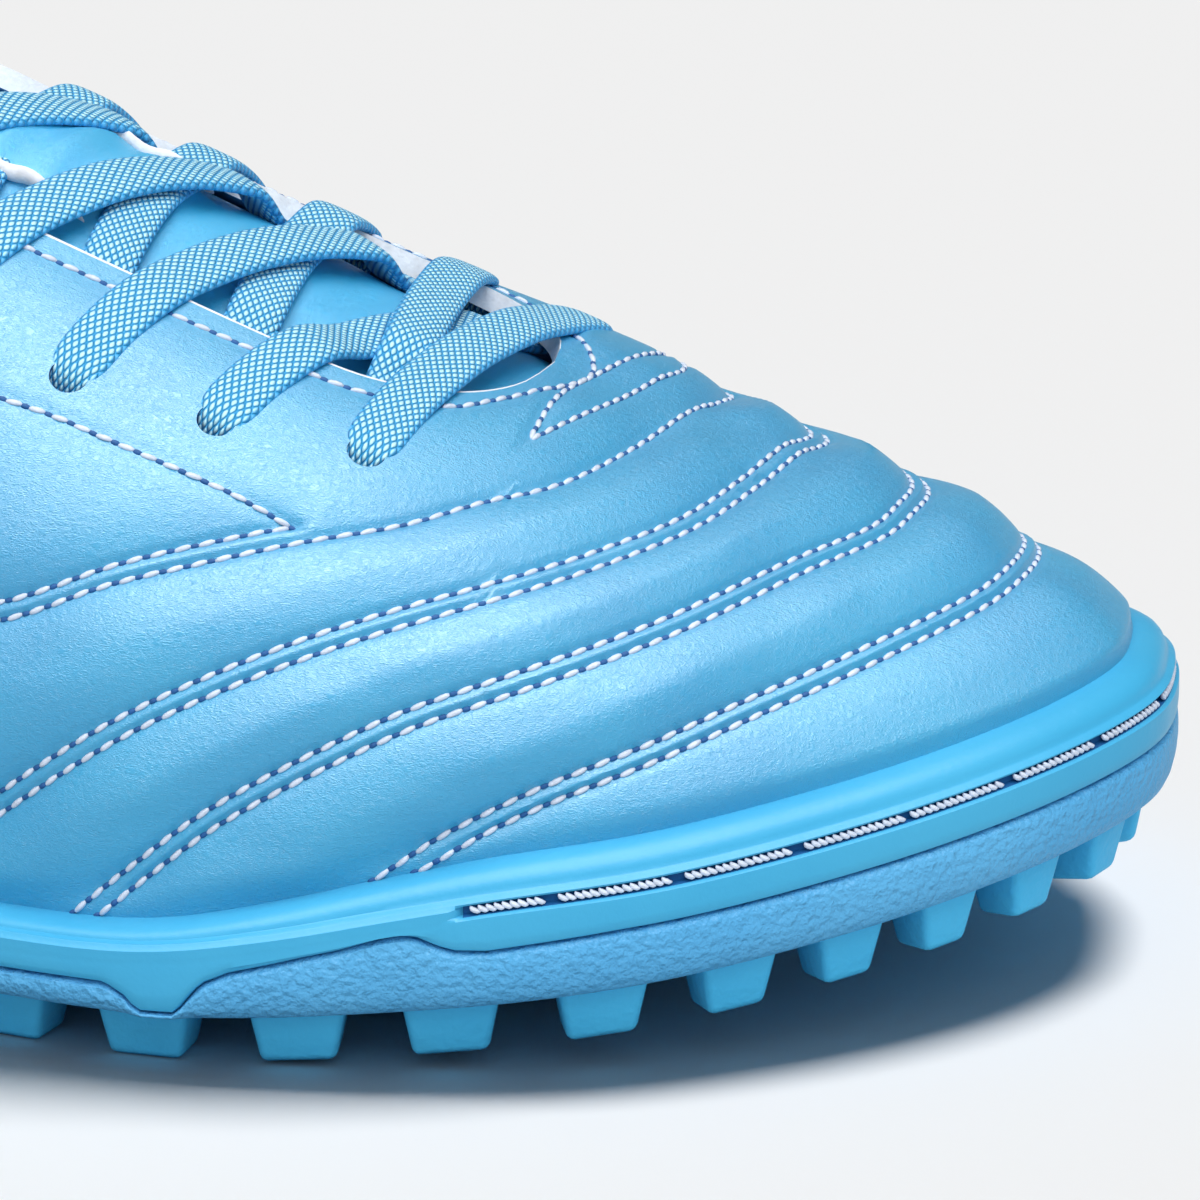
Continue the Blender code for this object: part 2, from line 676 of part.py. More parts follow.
def build_tongue(skin, material):
    """Padded leaf from under the vamp to above the throat, rounded at its free end."""
    offsets = np.linspace(-1, 1, 9)
    top, bottom = [], []
    for station, half in TONGUE:
        middle = BALL_WIDTH * read(RIDGE, 2, station)
        for offset in offsets:
            x, y = station * LENGTH, middle + offset * half * TONGUE_HALF
            z = tongue_height(skin, x, y)
            edge = 1 - TONGUE_EDGE_THINNER * abs(offset) ** 3
            top.append((x, y, z))
            bottom.append((x, y, z - TONGUE_THICKNESS * edge))
    rows, columns = len(TONGUE), len(offsets)
    base = rows * columns
    faces = []
    for i in range(rows - 1):
        for j in range(columns - 1):
            a = i * columns + j
            faces.append([a, a + 1, a + columns + 1, a + columns])
            faces.append([base + a, base + a + columns, base + a + columns + 1, base + a + 1])
        a, b = i * columns, (i + 1) * columns
        faces.append([a, a + columns, base + b, base + a])
        faces.append([b - 1, base + b - 1, base + b + columns - 1, b + columns - 1])
    for j in range(columns - 1):
        faces.append([j, base + j, base + j + 1, j + 1])
        a = (rows - 1) * columns + j
        faces.append([a, a + 1, base + a + 1, base + a])
    return add_object("tongue", top + bottom, faces, material)


def strap(skin, start, end, lift, hump=0.0, steps=14):
    """Flat lace section laid over the last from one plan point to another."""
    start, end = np.asarray(start, float), np.asarray(end, float)
    along = unit(end - start)
    across = np.array([-along[1], along[0]])
    verts, faces = [], []
    for k in range(steps + 1):
        u = k / steps
        p = start + (end - start) * u
        bulge = hump * math.sin(math.pi * u) ** 2
        for side in (-1, 1):
            q = p + across * side * LACE_WIDTH / 2
            z, normal = skin_height(skin, q[0], q[1])
            foot = np.array([q[0], q[1], z])
            verts.append(foot + normal * (lift + bulge))
            verts.append(foot + normal * (lift + bulge + LACE_THICKNESS))
    for k in range(steps):
        a, b = 4 * k, 4 * k + 4
        for i, j in ((0, 1), (1, 3), (3, 2), (2, 0)):
            faces.append([a + i, a + j, b + j, b + i])
    faces.append([0, 2, 3, 1])
    faces.append([4 * steps, 4 * steps + 1, 4 * steps + 3, 4 * steps + 2])
    return verts, faces


def eyelet_plan(side, number, short, back=0.0):
    """Plan point of an eyelet, moved towards the throat and back from the toe."""
    point, _ = eyelet_point(side, number)
    return np.array([point[0] - back, point[1] - side * short])


def build_laces(skin, material):
    """One straight bar at the front and a joined crossing behind it for each further pair."""
    reach = EYELET_RADIUS + 2 * CLEARANCE
    lift = LACE_LIFT
    verts, faces = strap(skin, eyelet_plan(OUTER, 0, reach), eyelet_plan(INNER, 0, reach), lift)
    bar = add_object("lace_bar", verts, faces, material, 60)
    crossings = []
    for pair in range(1, len(OUTER_EYELETS)):
        objects = []
        for side, extra in ((OUTER, 0.0), (INNER, LACE_THICKNESS * 0.6)):
            far = eyelet_plan(-side, pair - 1, THROAT_HALF * 0.95, LACE_WIDTH * 1.85)
            near = eyelet_plan(side, pair, reach)
            verts, faces = strap(skin, far, near, lift, extra + LACE_LIFT)
            objects.append(add_object(f"lace_crossing_{pair}", verts, faces, material, 60))
        crossing, other = objects
        other.name = f"lace_over_guide_{pair}"
        other.hide_render = True
        other.display_type = "WIRE"
        crossing.name = f"lace_crossing_{pair}"
        join = crossing.modifiers.new("join", "BOOLEAN")
        join.operation = "UNION"
        join.solver = "EXACT"
        join.object = other
        crossings.append(crossing)
    return bar, crossings


def main():
    """Builds every piece of the shoe."""
    for obj in list(bpy.data.objects):
        bpy.data.objects.remove(obj, do_unlink=True)
    angles = column_angles(88)
    leather = finish("blue_leather", (0.13, 0.48, 0.84), 0.45)
    build_outsole(angles, finish("textured_rubber", (0.10, 0.38, 0.66), 0.65))
    build_midsole(angles, finish("smooth_rubber", (0.12, 0.42, 0.72), 0.40))
    build_insole(angles, finish("insole_fabric", (0.14, 0.30, 0.50), 0.90))
    build_upper(angles, leather)
    skin = last_skin()
    build_tongue(skin, leather)
    build_laces(skin, finish("lace_fabric", (0.16, 0.50, 0.80), 0.80))


main()
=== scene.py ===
import json
import logging
import math
from dataclasses import dataclass, field
from enum import Enum

import bmesh
import bpy
import numpy as np
from mathutils import Matrix, Vector
from mathutils.bvhtree import BVHTree
from mathutils.kdtree import KDTree

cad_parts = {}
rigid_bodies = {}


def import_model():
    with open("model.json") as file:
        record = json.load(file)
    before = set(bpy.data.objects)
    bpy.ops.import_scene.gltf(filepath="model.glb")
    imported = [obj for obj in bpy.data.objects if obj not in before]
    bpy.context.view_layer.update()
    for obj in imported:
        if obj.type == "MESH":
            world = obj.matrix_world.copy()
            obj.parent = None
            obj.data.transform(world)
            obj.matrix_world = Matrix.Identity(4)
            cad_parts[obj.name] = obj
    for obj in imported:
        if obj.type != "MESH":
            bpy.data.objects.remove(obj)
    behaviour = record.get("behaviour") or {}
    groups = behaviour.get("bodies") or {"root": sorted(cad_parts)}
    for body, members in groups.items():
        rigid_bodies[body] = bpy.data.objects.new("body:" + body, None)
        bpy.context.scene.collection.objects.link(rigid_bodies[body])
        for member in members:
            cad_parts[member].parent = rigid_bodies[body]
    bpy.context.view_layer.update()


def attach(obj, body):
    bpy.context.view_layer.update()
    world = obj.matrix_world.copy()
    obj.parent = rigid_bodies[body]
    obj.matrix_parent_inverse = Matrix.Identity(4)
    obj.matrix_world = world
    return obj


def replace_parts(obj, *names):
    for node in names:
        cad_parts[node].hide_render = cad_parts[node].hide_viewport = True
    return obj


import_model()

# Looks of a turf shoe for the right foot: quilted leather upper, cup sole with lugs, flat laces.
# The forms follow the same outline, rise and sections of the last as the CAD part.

LOG = logging.getLogger("turf_shoe")
MM = 0.001
WELD = 0.002 * MM

# One number or an array of them, and what a node's input takes
Numbers = float | np.ndarray
Value = bpy.types.NodeSocket | float | tuple

# Station from the heel as a share of the length, offset as a share of the width there, outer side first
OUTLINE = (
    (0.000, 0.000), (0.028, -0.320), (0.097, -0.485), (0.186, -0.537), (0.310, -0.537),
    (0.448, -0.466), (0.569, -0.461), (0.672, -0.511), (0.759, -0.492), (0.845, -0.431),
    (0.914, -0.310), (0.966, -0.166), (0.996, -0.020), (1.000, 0.106), (0.987, 0.245),
    (0.947, 0.364), (0.879, 0.445), (0.793, 0.489), (0.707, 0.489), (0.621, 0.445),
    (0.517, 0.401), (0.397, 0.416), (0.259, 0.456), (0.121, 0.463), (0.034, 0.324),
)

# Station, height of the sole's side and of the cup's floor as shares of the side's full height
SOLE_SIDE = (
    (0.00, 1.13, 0.80), (0.15, 1.10, 0.78), (0.30, 0.90, 0.62), (0.42, 0.68, 0.42), (0.52, 0.60, 0.35),
    (0.62, 0.565, 0.33), (0.67, 0.60, 0.33), (0.72, 0.75, 0.34), (0.765, 0.90, 0.35),
    (0.79, 0.96, 0.35), (0.86, 0.99, 0.36), (1.00, 0.99, 0.36),
)

# Station, share of the side below the parting line; smooth rubber drops to the edge at one place
PARTING = (
    (0.000, 0.38), (0.650, 0.38), (0.662, 0.37), (0.670, 0.22), (0.674, 0.07), (0.688, 0.07),
    (0.691, 0.20), (0.697, 0.39), (0.707, 0.486), (0.731, 0.557), (0.745, 0.58), (0.758, 0.62),
    (0.765, 0.625), (0.771, 0.60), (0.778, 0.51), (0.784, 0.455), (0.795, 0.42), (0.815, 0.43),
    (0.840, 0.445), (1.000, 0.45),
)

# Station, height of the ridge as a share of the instep, its offset as a share of the ball's width
RIDGE = (
    (0.30, 1.085, 0.02), (0.40, 0.997, 0.02), (0.48, 0.922, 0.025), (0.56, 0.837, 0.03),
    (0.64, 0.741, 0.034), (0.72, 0.637, 0.04), (0.76, 0.586, 0.05), (0.81, 0.531, 0.068),
    (0.87, 0.476, 0.087),
)

# Station at the feather line, station where the section meets the top line
SECTION_TOPS = (
    (0.00, 0.031), (0.05, 0.075), (0.12, 0.130), (0.22, 0.215), (0.33, 0.320), (0.44, 0.420),
    (0.52, 0.485), (0.62, 0.590), (0.72, 0.695), (0.80, 0.785), (0.86, 0.860),
)

# Station at the top line, half widths as shares of the heel's width and heights as shares of the
# instep (outer side, inner side), slope of the wall there in degrees
COLLAR = (
    (0.031, 0.46, 0.43, 0.810, 0.810, 97), (0.075, 0.46, 0.43, 0.775, 0.785, 96),
    (0.130, 0.46, 0.43, 0.715, 0.740, 93), (0.215, 0.47, 0.44, 0.665, 0.700, 89),
    (0.320, 0.48, 0.44, 0.700, 0.735, 82), (0.400, 0.42, 0.39, 0.830, 0.840, 66),
    (0.430, 0.35, 0.33, 0.905, 0.905, 50),
)

# Station at the feather line, outward lean of the wall in degrees, fullness low down and at the top
SECTIONS = (
    (0.00, 13, 0.40, 0.35), (0.20, 6, 0.38, 0.33), (0.42, 3, 0.36, 0.36), (0.55, 5, 0.36, 0.42),
    (0.68, 8, 0.38, 0.50), (0.80, 9, 0.40, 0.59), (0.90, -18, 0.33, 0.53), (1.00, -42, 0.29, 0.43),
)

# Feather station and share up the section of each eyelet, front pair first
OUTER_EYELETS = ((0.746, 0.653), (0.696, 0.664), (0.644, 0.703), (0.593, 0.76), (0.542, 0.80))
INNER_EYELETS = ((0.7825, 0.718), (0.738, 0.705), (0.694, 0.72), (0.650, 0.745), (0.606, 0.78))

# Stitch rows from the outer side over the toe to the inner side. A place is a turn round the sole in
# half circles (0 heel, 1 toe) and a share up the section. These rows are double.
DOUBLE_ROWS = {
    "toe": (
        (0.670, 0.00), (0.690, 0.045), (0.717, 0.10), (0.750, 0.165), (0.780, 0.235), (0.820, 0.315),
        (0.885, 0.39), (0.950, 0.415), (1.045, 0.395), (1.115, 0.36), (1.180, 0.31), (1.220, 0.24),
        (1.250, 0.165), (1.285, 0.10), (1.310, 0.045), (1.330, 0.00)),
    "ball": (
        (0.592, 0.00), (0.607, 0.06), (0.628, 0.13), (0.652, 0.185), (0.678, 0.243), (0.702, 0.293),
        (0.729, 0.37), (0.755, 0.485), (0.800, 0.63), (0.880, 0.71), (0.993, 0.74), (1.105, 0.70),
        (1.190, 0.61), (1.240, 0.485), (1.270, 0.37), (1.300, 0.29), (1.330, 0.23), (1.370, 0.13),
        (1.393, 0.06), (1.408, 0.00)),
    "vamp": (
        (0.548, 0.00), (0.558, 0.07), (0.576, 0.15), (0.602, 0.245), (0.626, 0.305), (0.650, 0.355),
        (0.676, 0.413), (0.700, 0.483), (0.724, 0.587), (0.745, 0.76), (1.241, 0.91), (1.238, 0.80),
        (1.252, 0.69), (1.282, 0.57), (1.310, 0.47), (1.340, 0.39), (1.372, 0.32), (1.404, 0.235),
        (1.428, 0.14), (1.445, 0.06), (1.455, 0.00)),
}

# Single rows that press the quilting down: in front of the throat, and its partner on the quarter
SINGLE_ROWS = {
    "throat": (
        (0.448, 0.12), (0.500, 0.235), (0.540, 0.315), (0.576, 0.37), (0.602, 0.43), (0.626, 0.467),
        (0.650, 0.506), (0.674, 0.556), (0.691, 0.63), (0.709, 0.715), (0.722, 0.85), (1.269, 0.945),
        (1.269, 0.72), (1.290, 0.61), (1.318, 0.52), (1.352, 0.45), (1.396, 0.38), (1.448, 0.29),
        (1.505, 0.20), (1.560, 0.11)),
    "quarter_low": (
        (0.448, 0.145), (0.500, 0.26), (0.540, 0.34), (0.576, 0.394), (0.605, 0.46), (0.630, 0.50),
        (0.648, 0.53)),
}

# Rows on flat leather
FLAT_ROWS = {
    "quarter_high": (
        (0.648, 0.53), (0.641, 0.545), (0.631, 0.568), (0.621, 0.587), (0.603, 0.622), (0.588, 0.65),
        (0.566, 0.675), (0.540, 0.70), (0.510, 0.725), (0.480, 0.755), (0.455, 0.80), (0.436, 0.86)),
    "vee_long": (
        (1.440, 0.64), (1.390, 0.64), (1.340, 0.65), (1.300, 0.672), (1.290, 0.71), (1.291, 0.95),
        (0.705, 0.95), (0.702, 0.88), (0.700, 0.78)),
    "vee_short": (
        (1.440, 0.54), (1.390, 0.545), (1.340, 0.57), (1.296, 0.64), (1.281, 0.78), (1.281, 0.92),
        (0.714, 0.94), (0.705, 0.83), (0.700, 0.78)),
}

# Creases in the leather: turn and share of the middle, turn and share of its run, length and depth in mm
CREASES = (
    (0.640, 0.420, 0.022, 0.030, 11, 0.16), (0.665, 0.300, 0.030, -0.020, 12, 0.14),
    (0.700, 0.380, 0.028, 0.045, 10, 0.15), (0.715, 0.215, 0.030, 0.030, 12, 0.16),
    (0.735, 0.300, 0.024, 0.050, 9, 0.14), (0.690, 0.130, 0.034, -0.015, 12, 0.16),
    (0.610, 0.120, 0.030, 0.040, 13, 0.15), (0.640, 0.080, 0.026, -0.030, 11, 0.14),
    (0.790, 0.420, 0.020, 0.060, 9, 0.13), (0.840, 0.480, 0.018, 0.050, 9, 0.13),
    (0.590, 0.330, 0.026, 0.020, 12, 0.15), (0.560, 0.210, 0.030, 0.010, 14, 0.16),
    (1.330, 0.300, 0.026, 0.030, 11, 0.15), (1.300, 0.180, 0.030, -0.020, 12, 0.15),
    (1.380, 0.220, 0.028, 0.030, 12, 0.15), (0.480, 0.450, 0.030, 0.040, 14, 0.16),
)

# Where the lacing's strands lie: which one of a pair lies on top, front pair of crossings first
INNER_ON_TOP = (True, False, False, False)


class Side(Enum):
    """Outer and inner side of the foot, as the sign of Y."""

    OUTER = -1
    INNER = 1


def ease(t: Numbers) -> Numbers:
    """Smooth step from 0 to 1."""
    t = np.clip(t, 0.0, 1.0)
    return t * t * (3 - 2 * t)


def ramp(value: Numbers, start: float, end: float) -> Numbers:
    """Smooth step from 0 to 1 as a value goes from start to end."""
    return ease((value - start) / (end - start))


def unit(v: np.ndarray) -> np.ndarray:
    """Vectors of length one."""
    return v / np.maximum(np.linalg.norm(v, axis=-1), 1e-12)[..., None]


def read(table: tuple, column: int, station: Numbers) -> np.ndarray:
    """Reads a column of a table on a smooth curve through its rows.

    Args:
        table: rows that start with a station.
        column: the column to read.
        station: one station or an array of them.

    Returns:
        The column's values at the stations.
    """
    xs = np.array([row[0] for row in table], float)
    ys = np.array([row[column] for row in table], float)
    slopes = np.gradient(ys, xs)
    x = np.clip(np.asarray(station, float), xs[0], xs[-1])
    i = np.clip(np.searchsorted(xs, x, side="right") - 1, 0, len(xs) - 2)
    h = xs[i + 1] - xs[i]
    t = (x - xs[i]) / h
    rise = ys[i] * (1 + 2 * t) * (1 - t) ** 2 + ys[i + 1] * t * t * (3 - 2 * t)
    return rise + h * t * (1 - t) * (slopes[i] * (1 - t) - slopes[i + 1] * t)


def run_of(points: np.ndarray) -> np.ndarray:
    """Distance of each point along their line, from the first one."""
    return np.concatenate([[0], np.cumsum(np.linalg.norm(np.diff(points, axis=0), axis=1))])


def curve_spans(points: np.ndarray, count: int) -> np.ndarray:
    """Points on a smooth curve through the given ones, apart from the first and the last of them.

    Args:
        points: the points; the first and the last only steer the curve.
        count: new points in each span.

    Returns:
        The new points, without the curve's very end.
    """
    t = np.linspace(0, 1, count, endpoint=False)[:, None]
    spans = []
    for a, b, c, d in zip(points, points[1:], points[2:], points[3:]):
        cubic = (3 * b - a - 3 * c + d) * t ** 3 + (2 * a - 5 * b + 4 * c - d) * t * t
        spans.append(0.5 * (cubic + (c - a) * t + 2 * b))
    return np.vstack(spans)


def through(points: np.ndarray, step: float) -> np.ndarray:
    """Points a step apart on a smooth open curve through the given points; more columns go with them.

    Args:
        points: the points, two or more.
        step: distance between the new points.

    Returns:
        The new points.
    """
    steered = np.vstack([2 * points[0] - points[1], points, 2 * points[-1] - points[-2]])
    fine = np.vstack([curve_spans(steered, 40), points[-1:]])
    run = run_of(fine[:, :3])
    even = np.linspace(0, run[-1], max(2, int(round(run[-1] / step)) + 1))
    return np.stack([np.interp(even, run, fine[:, k]) for k in range(fine.shape[1])], -1)


@dataclass(frozen=True)
class Footprint:
    """The sole seen from above, and its heights from the floor.

    The methods work in metres from the heel; the centre is taken off when meshes are made.
    """

    length: float = 0.290
    ball_width: float = 0.1033
    heel_width: float = 0.068
    lug_height: float = 0.0055
    toe_spring: float = 0.0113
    arch_rise: float = 0.003
    sole_wall: float = 0.015
    feather_inset: float = 0.0049
    clearance: float = 0.0003
    sides: tuple = field(init=False)

    def __post_init__(self) -> None:
        """Works out both sides of the outline, each from heel to toe."""
        points = []
        for station, offset in OUTLINE:
            width = self.heel_width + (self.ball_width - self.heel_width) * ramp(station, 0.30, 0.62)
            points.append((station * self.length, offset * width))
        curve = curve_spans(np.array(points[-1:] + points + points[:2]), 60)
        curve = np.roll(curve, -curve[:, 0].argmin(), axis=0)
        toe = curve[:, 0].argmax()
        sides = (curve[:toe + 1], np.vstack([curve[toe:], curve[:1]])[::-1])
        object.__setattr__(self, "sides", sides)

    @property
    def ends(self) -> tuple:
        """X of heel and toe."""
        return self.sides[0][0, 0], self.sides[0][-1, 0]

    @property
    def centre(self) -> np.ndarray:
        """Middle of the footprint's box, on the floor.

        Returns:
            The point, in metres from the heel.
        """
        heel, toe = self.ends
        outer, inner = self.sides[0][:, 1].min(), self.sides[1][:, 1].max()
        return np.array([(heel + toe) / 2, (outer + inner) / 2, 0.0])

    def plan(self, angle: Numbers) -> np.ndarray:
        """Outline seen from above.

        Args:
            angle: angle round the sole: 0 is the heel, pi the toe, the outer side comes first.

        Returns:
            X and Y.
        """
        angle = np.mod(angle, 2 * math.pi)
        heel, toe = self.ends
        x = heel + (toe - heel) * (1 - np.cos(angle)) / 2
        outer = np.interp(x, self.sides[0][:, 0], self.sides[0][:, 1])
        inner = np.interp(x, self.sides[1][:, 0], self.sides[1][:, 1])
        return np.stack([x, np.where(angle <= math.pi, outer, inner)], -1)

    def outward(self, angle: Numbers) -> np.ndarray:
        """Level direction square to the outline, away from the foot."""
        along = unit(self.plan(angle + 0.02) - self.plan(angle - 0.02))
        return np.stack([along[..., 1], -along[..., 0]], -1)

    def angle_at(self, side: Side, station: Numbers) -> Numbers:
        """Angle round the sole of a station.

        Args:
            side: outer or inner side.
            station: share of the length, from the heel.

        Returns:
            The angle.
        """
        heel, toe = self.ends
        x = np.clip(np.asarray(station) * self.length, heel, toe)
        angle = np.arccos(1 - 2 * (x - heel) / (toe - heel))
        return angle if side is Side.OUTER else 2 * math.pi - angle

    def rise(self, x: Numbers) -> Numbers:
        """Height of the lugs' tips above the floor: toe spring and arch.

        Args:
            x: metres from the heel.

        Returns:
            The height.
        """
        s = x / self.length
        spring = self.toe_spring * np.clip((s - 0.68) / 0.32, 0, None) ** 1.66
        return spring + self.arch_rise * np.sin(math.pi * np.clip((s - 0.27) / 0.25, 0, 1)) ** 2

    def bottom(self, x: Numbers) -> Numbers:
        """Height of the outsole's underside between the lugs."""
        return self.lug_height + self.rise(x)

    def side_height(self, x: Numbers) -> Numbers:
        """Height of the sole's side above its bottom edge."""
        return self.sole_wall * read(SOLE_SIDE, 1, x / self.length)

    def cup_floor(self, x: Numbers) -> Numbers:
        """Height of the floor that the upper stands on."""
        return self.bottom(x) + self.sole_wall * read(SOLE_SIDE, 2, x / self.length)

    def parting(self, x: Numbers) -> Numbers:
        """Height of the line between textured and smooth rubber."""
        share = np.interp(x / self.length, *zip(*PARTING))
        return self.bottom(x) + self.side_height(x) * share


@dataclass(frozen=True)
class Last:
    """The outside of the upper as a surface of angle round the sole and share up each section."""

    foot: Footprint
    instep: float = 0.104
    throat_half: float = 0.019
    throat_curve: float = 0.044
    throat_front: float = 0.775
    throat_rounding: float = 0.069
    fan: float = 0.86
    fan_margin: float = 0.006
    heel_rounding: float = 0.17
    section_chord: float = 0.090

    def half_gap(self, station: Numbers) -> Numbers:
        """Half width of the throat at its rounded front end."""
        u = np.clip((station - self.throat_front + self.throat_rounding) / self.throat_rounding, 0, 1)
        return self.throat_half * np.sqrt(1 - u * u)

    def spread(self, station: Numbers) -> Numbers:
        """Half distance between the two sides' top lines along the throat."""
        return self.throat_half * (1 - ramp(station, 0.50, 0.75))

    def ridge_slope(self, station: Numbers) -> Numbers:
        """Fall of the ridge towards the toe.

        Args:
            station: share of the length, from the heel.

        Returns:
            Rise over run, below 0 where the ridge falls.
        """
        step = 0.005
        fall = read(RIDGE, 1, station + step) - read(RIDGE, 1, station - step)
        return self.instep * fall / (2 * step * self.foot.length)

    def ridge(self, station: Numbers) -> tuple:
        """Offset and height of the ridge at a station."""
        return self.foot.ball_width * read(RIDGE, 2, station), self.instep * read(RIDGE, 1, station)

    def sag(self, aside: Numbers) -> Numbers:
        """How far the instep falls off to the side of the ridge."""
        return self.throat_curve - np.sqrt(self.throat_curve ** 2 - aside ** 2)

    def top_line(self, angle: Numbers) -> tuple:
        """Where each section ends.

        Args:
            angle: angle round the sole.

        Returns:
            The point, the wall's slope there and its station.
        """
        side = np.where(np.mod(angle, 2 * math.pi) <= math.pi, -1.0, 1.0)
        station = (1 - np.cos(angle)) / 2
        top = np.where(station < self.fan, read(SECTION_TOPS, 1, station), self.fan)
        in_throat = ramp(top, 0.41, 0.46)
        half = self.spread(top)
        height = self.instep * read(RIDGE, 1, top) - self.sag(half)
        slope = np.arcsin(half / self.throat_curve)
        heel_round = np.clip((top - COLLAR[0][0]) / self.heel_rounding, 0, 1)
        collar_half = self.foot.heel_width * np.where(side < 0, read(COLLAR, 1, top), read(COLLAR, 2, top))
        collar_half = collar_half * np.sqrt(heel_round * (2 - heel_round))
        collar_height = self.instep * np.where(side < 0, read(COLLAR, 3, top), read(COLLAR, 4, top))
        half = in_throat * half + (1 - in_throat) * collar_half
        height = in_throat * height + (1 - in_throat) * collar_height
        slope = in_throat * slope + (1 - in_throat) * np.radians(read(COLLAR, 5, top))
        middle = self.foot.ball_width * read(RIDGE, 2, top) * ramp(top, 0.05, 0.35)
        return np.stack([top * self.foot.length, middle + side * half, height], -1), slope, top

    def throat_cut(self, angle: Numbers) -> Numbers:
        """Share of each section that is left below the throat's edge.

        Args:
            angle: angle round the sole.

        Returns:
            The share, 1 where nothing is cut away.
        """
        top = self.top_line(angle)[2]
        gap = np.clip(self.half_gap(top) - 0.9 * self.spread(top), 0, None) * ramp(top, 0.50, 0.60)
        return 1 - gap / self.section_chord

    def surface(self, angle: Numbers, t: Numbers) -> np.ndarray:
        """Outside of the upper.

        Args:
            angle: angle round the sole.
            t: share up each section, from the feather line to the top line.

        Returns:
            The points.
        """
        angle, t = np.broadcast_arrays(np.asarray(angle, float), np.asarray(t, float))
        foot = self.foot
        plan, normal = foot.plan(angle), foot.outward(angle)
        x = plan[..., 0]
        low_z = foot.bottom(x) + foot.side_height(x)
        low = np.concatenate([plan - normal * foot.feather_inset, low_z[..., None]], -1)
        high, slope, top = self.top_line(angle)
        over = ramp(top, 0.36, 0.48)[..., None]
        level = unit(over * unit(low[..., :2] - high[..., :2]) + (1 - over) * normal)
        fall = over[..., 0] * self.ridge_slope(np.minimum(top, self.fan - self.fan_margin)) * level[..., 0]
        down = unit(np.concatenate([level, fall[..., None]], -1)) * np.cos(slope)[..., None]
        down[..., 2] -= np.sin(slope)
        lean = np.radians(read(SECTIONS, 1, x / foot.length))[..., None]
        up = np.concatenate([normal * np.sin(lean), np.cos(lean)], -1)
        chord = np.linalg.norm(high - low, axis=-1)[..., None]
        low_handle = low + up * chord * read(SECTIONS, 2, x / foot.length)[..., None]
        high_handle = high + down * chord * read(SECTIONS, 3, x / foot.length)[..., None]
        t = t[..., None]
        lower = (1 - t) ** 3 * low + 3 * (1 - t) ** 2 * t * low_handle
        return lower + 3 * (1 - t) * t * t * high_handle + t ** 3 * high

    def normal(self, angle: Numbers, t: Numbers) -> np.ndarray:
        """Direction square to the outside of the upper, pointing out.

        Args:
            angle: angle round the sole.
            t: share up each section.

        Returns:
            The directions.
        """
        d = 0.004
        angle, t = np.broadcast_arrays(np.asarray(angle, float), np.asarray(t, float))
        around = self.surface(angle + d, t) - self.surface(angle - d, t)
        upward = self.surface(angle, np.minimum(t + d, 1)) - self.surface(angle, np.maximum(t - d, 0))
        normal = unit(np.cross(around, upward))
        top = self.top_line(angle)[2]
        fall = self.ridge_slope(np.minimum(top, self.fan - self.fan_margin))
        ridge = unit(np.stack([-fall, 0 * top, 1 + 0 * top], -1))
        on_ridge = (t > 0.999) & (self.spread(top) < 1e-9)
        return np.where(on_ridge[..., None], ridge, normal)

    def eyelet(self, side: Side, number: int) -> tuple:
        """Place and direction of one eyelet.

        Args:
            side: outer or inner side.
            number: its number, the front one first.

        Returns:
            The point and the direction out of the leather.
        """
        station, share = (OUTER_EYELETS if side is Side.OUTER else INNER_EYELETS)[number]
        angle = self.foot.angle_at(side, station)
        return self.surface(angle, share), self.normal(angle, share)

    def closed_skin(self) -> BVHTree:
        """The outside of the last with its throat closed, to lay laces and the tongue on.

        Returns:
            Its search tree, with the footprint's centre at the origin.
        """
        half = np.linspace(float(self.foot.angle_at(Side.OUTER, 0.36)), math.pi, 160)
        shares = np.linspace(0.3, 1, 50)
        outer = self.surface(half[:, None], shares[None])
        inner = self.surface(2 * math.pi - half[:, None], shares[None])[:, ::-1]
        top = self.top_line(half)[2]
        middle, height = self.ridge(top)
        bridge = []
        for u in np.linspace(0, 1, 17)[1:-1]:
            y = (2 * u - 1) * self.spread(top)
            bridge.append(np.stack([top * self.foot.length, middle + y, height - self.sag(y)], -1))
        grid = np.concatenate([outer, np.stack(bridge, 1), inner], 1) - self.foot.centre
        return tree_of(grid)


# Meshes


def smooth(values: np.ndarray, width: float) -> np.ndarray:
    """Evens out a run of values, its two ends kept in place.

    Args:
        values: one row of values for each point.
        width: how far the evening reaches, in points.

    Returns:
        The evened values.
    """
    reach = min(int(3 * width), len(values) - 1)
    offsets = np.arange(-reach, reach + 1)
    kernel = np.exp(-0.5 * (offsets / width) ** 2)
    head = 2 * values[0] - values[reach:0:-1]
    tail = 2 * values[-1] - values[-2:-reach - 2:-1]
    padded = np.vstack([head, values, tail])
    return np.stack([np.convolve(padded[:, k], kernel / kernel.sum(), "valid")
                     for k in range(values.shape[1])], -1)


def round_angles(columns: int, extra: float, start: float, end: float) -> np.ndarray:
    """Angles round the shoe, closer together towards the toe and the same on both sides.

    Args:
        columns: steps round the shoe.
        extra: how much closer they lie at the toe, 0 for no closer.
        start: share of the way to the toe where they begin to close up.
        end: share of the way where they are closest.

    Returns:
        The angles from the heel round to the heel.
    """
    fine = np.linspace(0, 1, 4000)
    weight = 1 + extra * ramp(fine, start, end)
    run = np.concatenate([[0], np.cumsum((weight[1:] + weight[:-1]) / 2)])
    half = np.interp(np.linspace(0, run[-1], columns // 2 + 1), run, fine) * math.pi
    return np.concatenate([half, 2 * math.pi - half[-2::-1]])


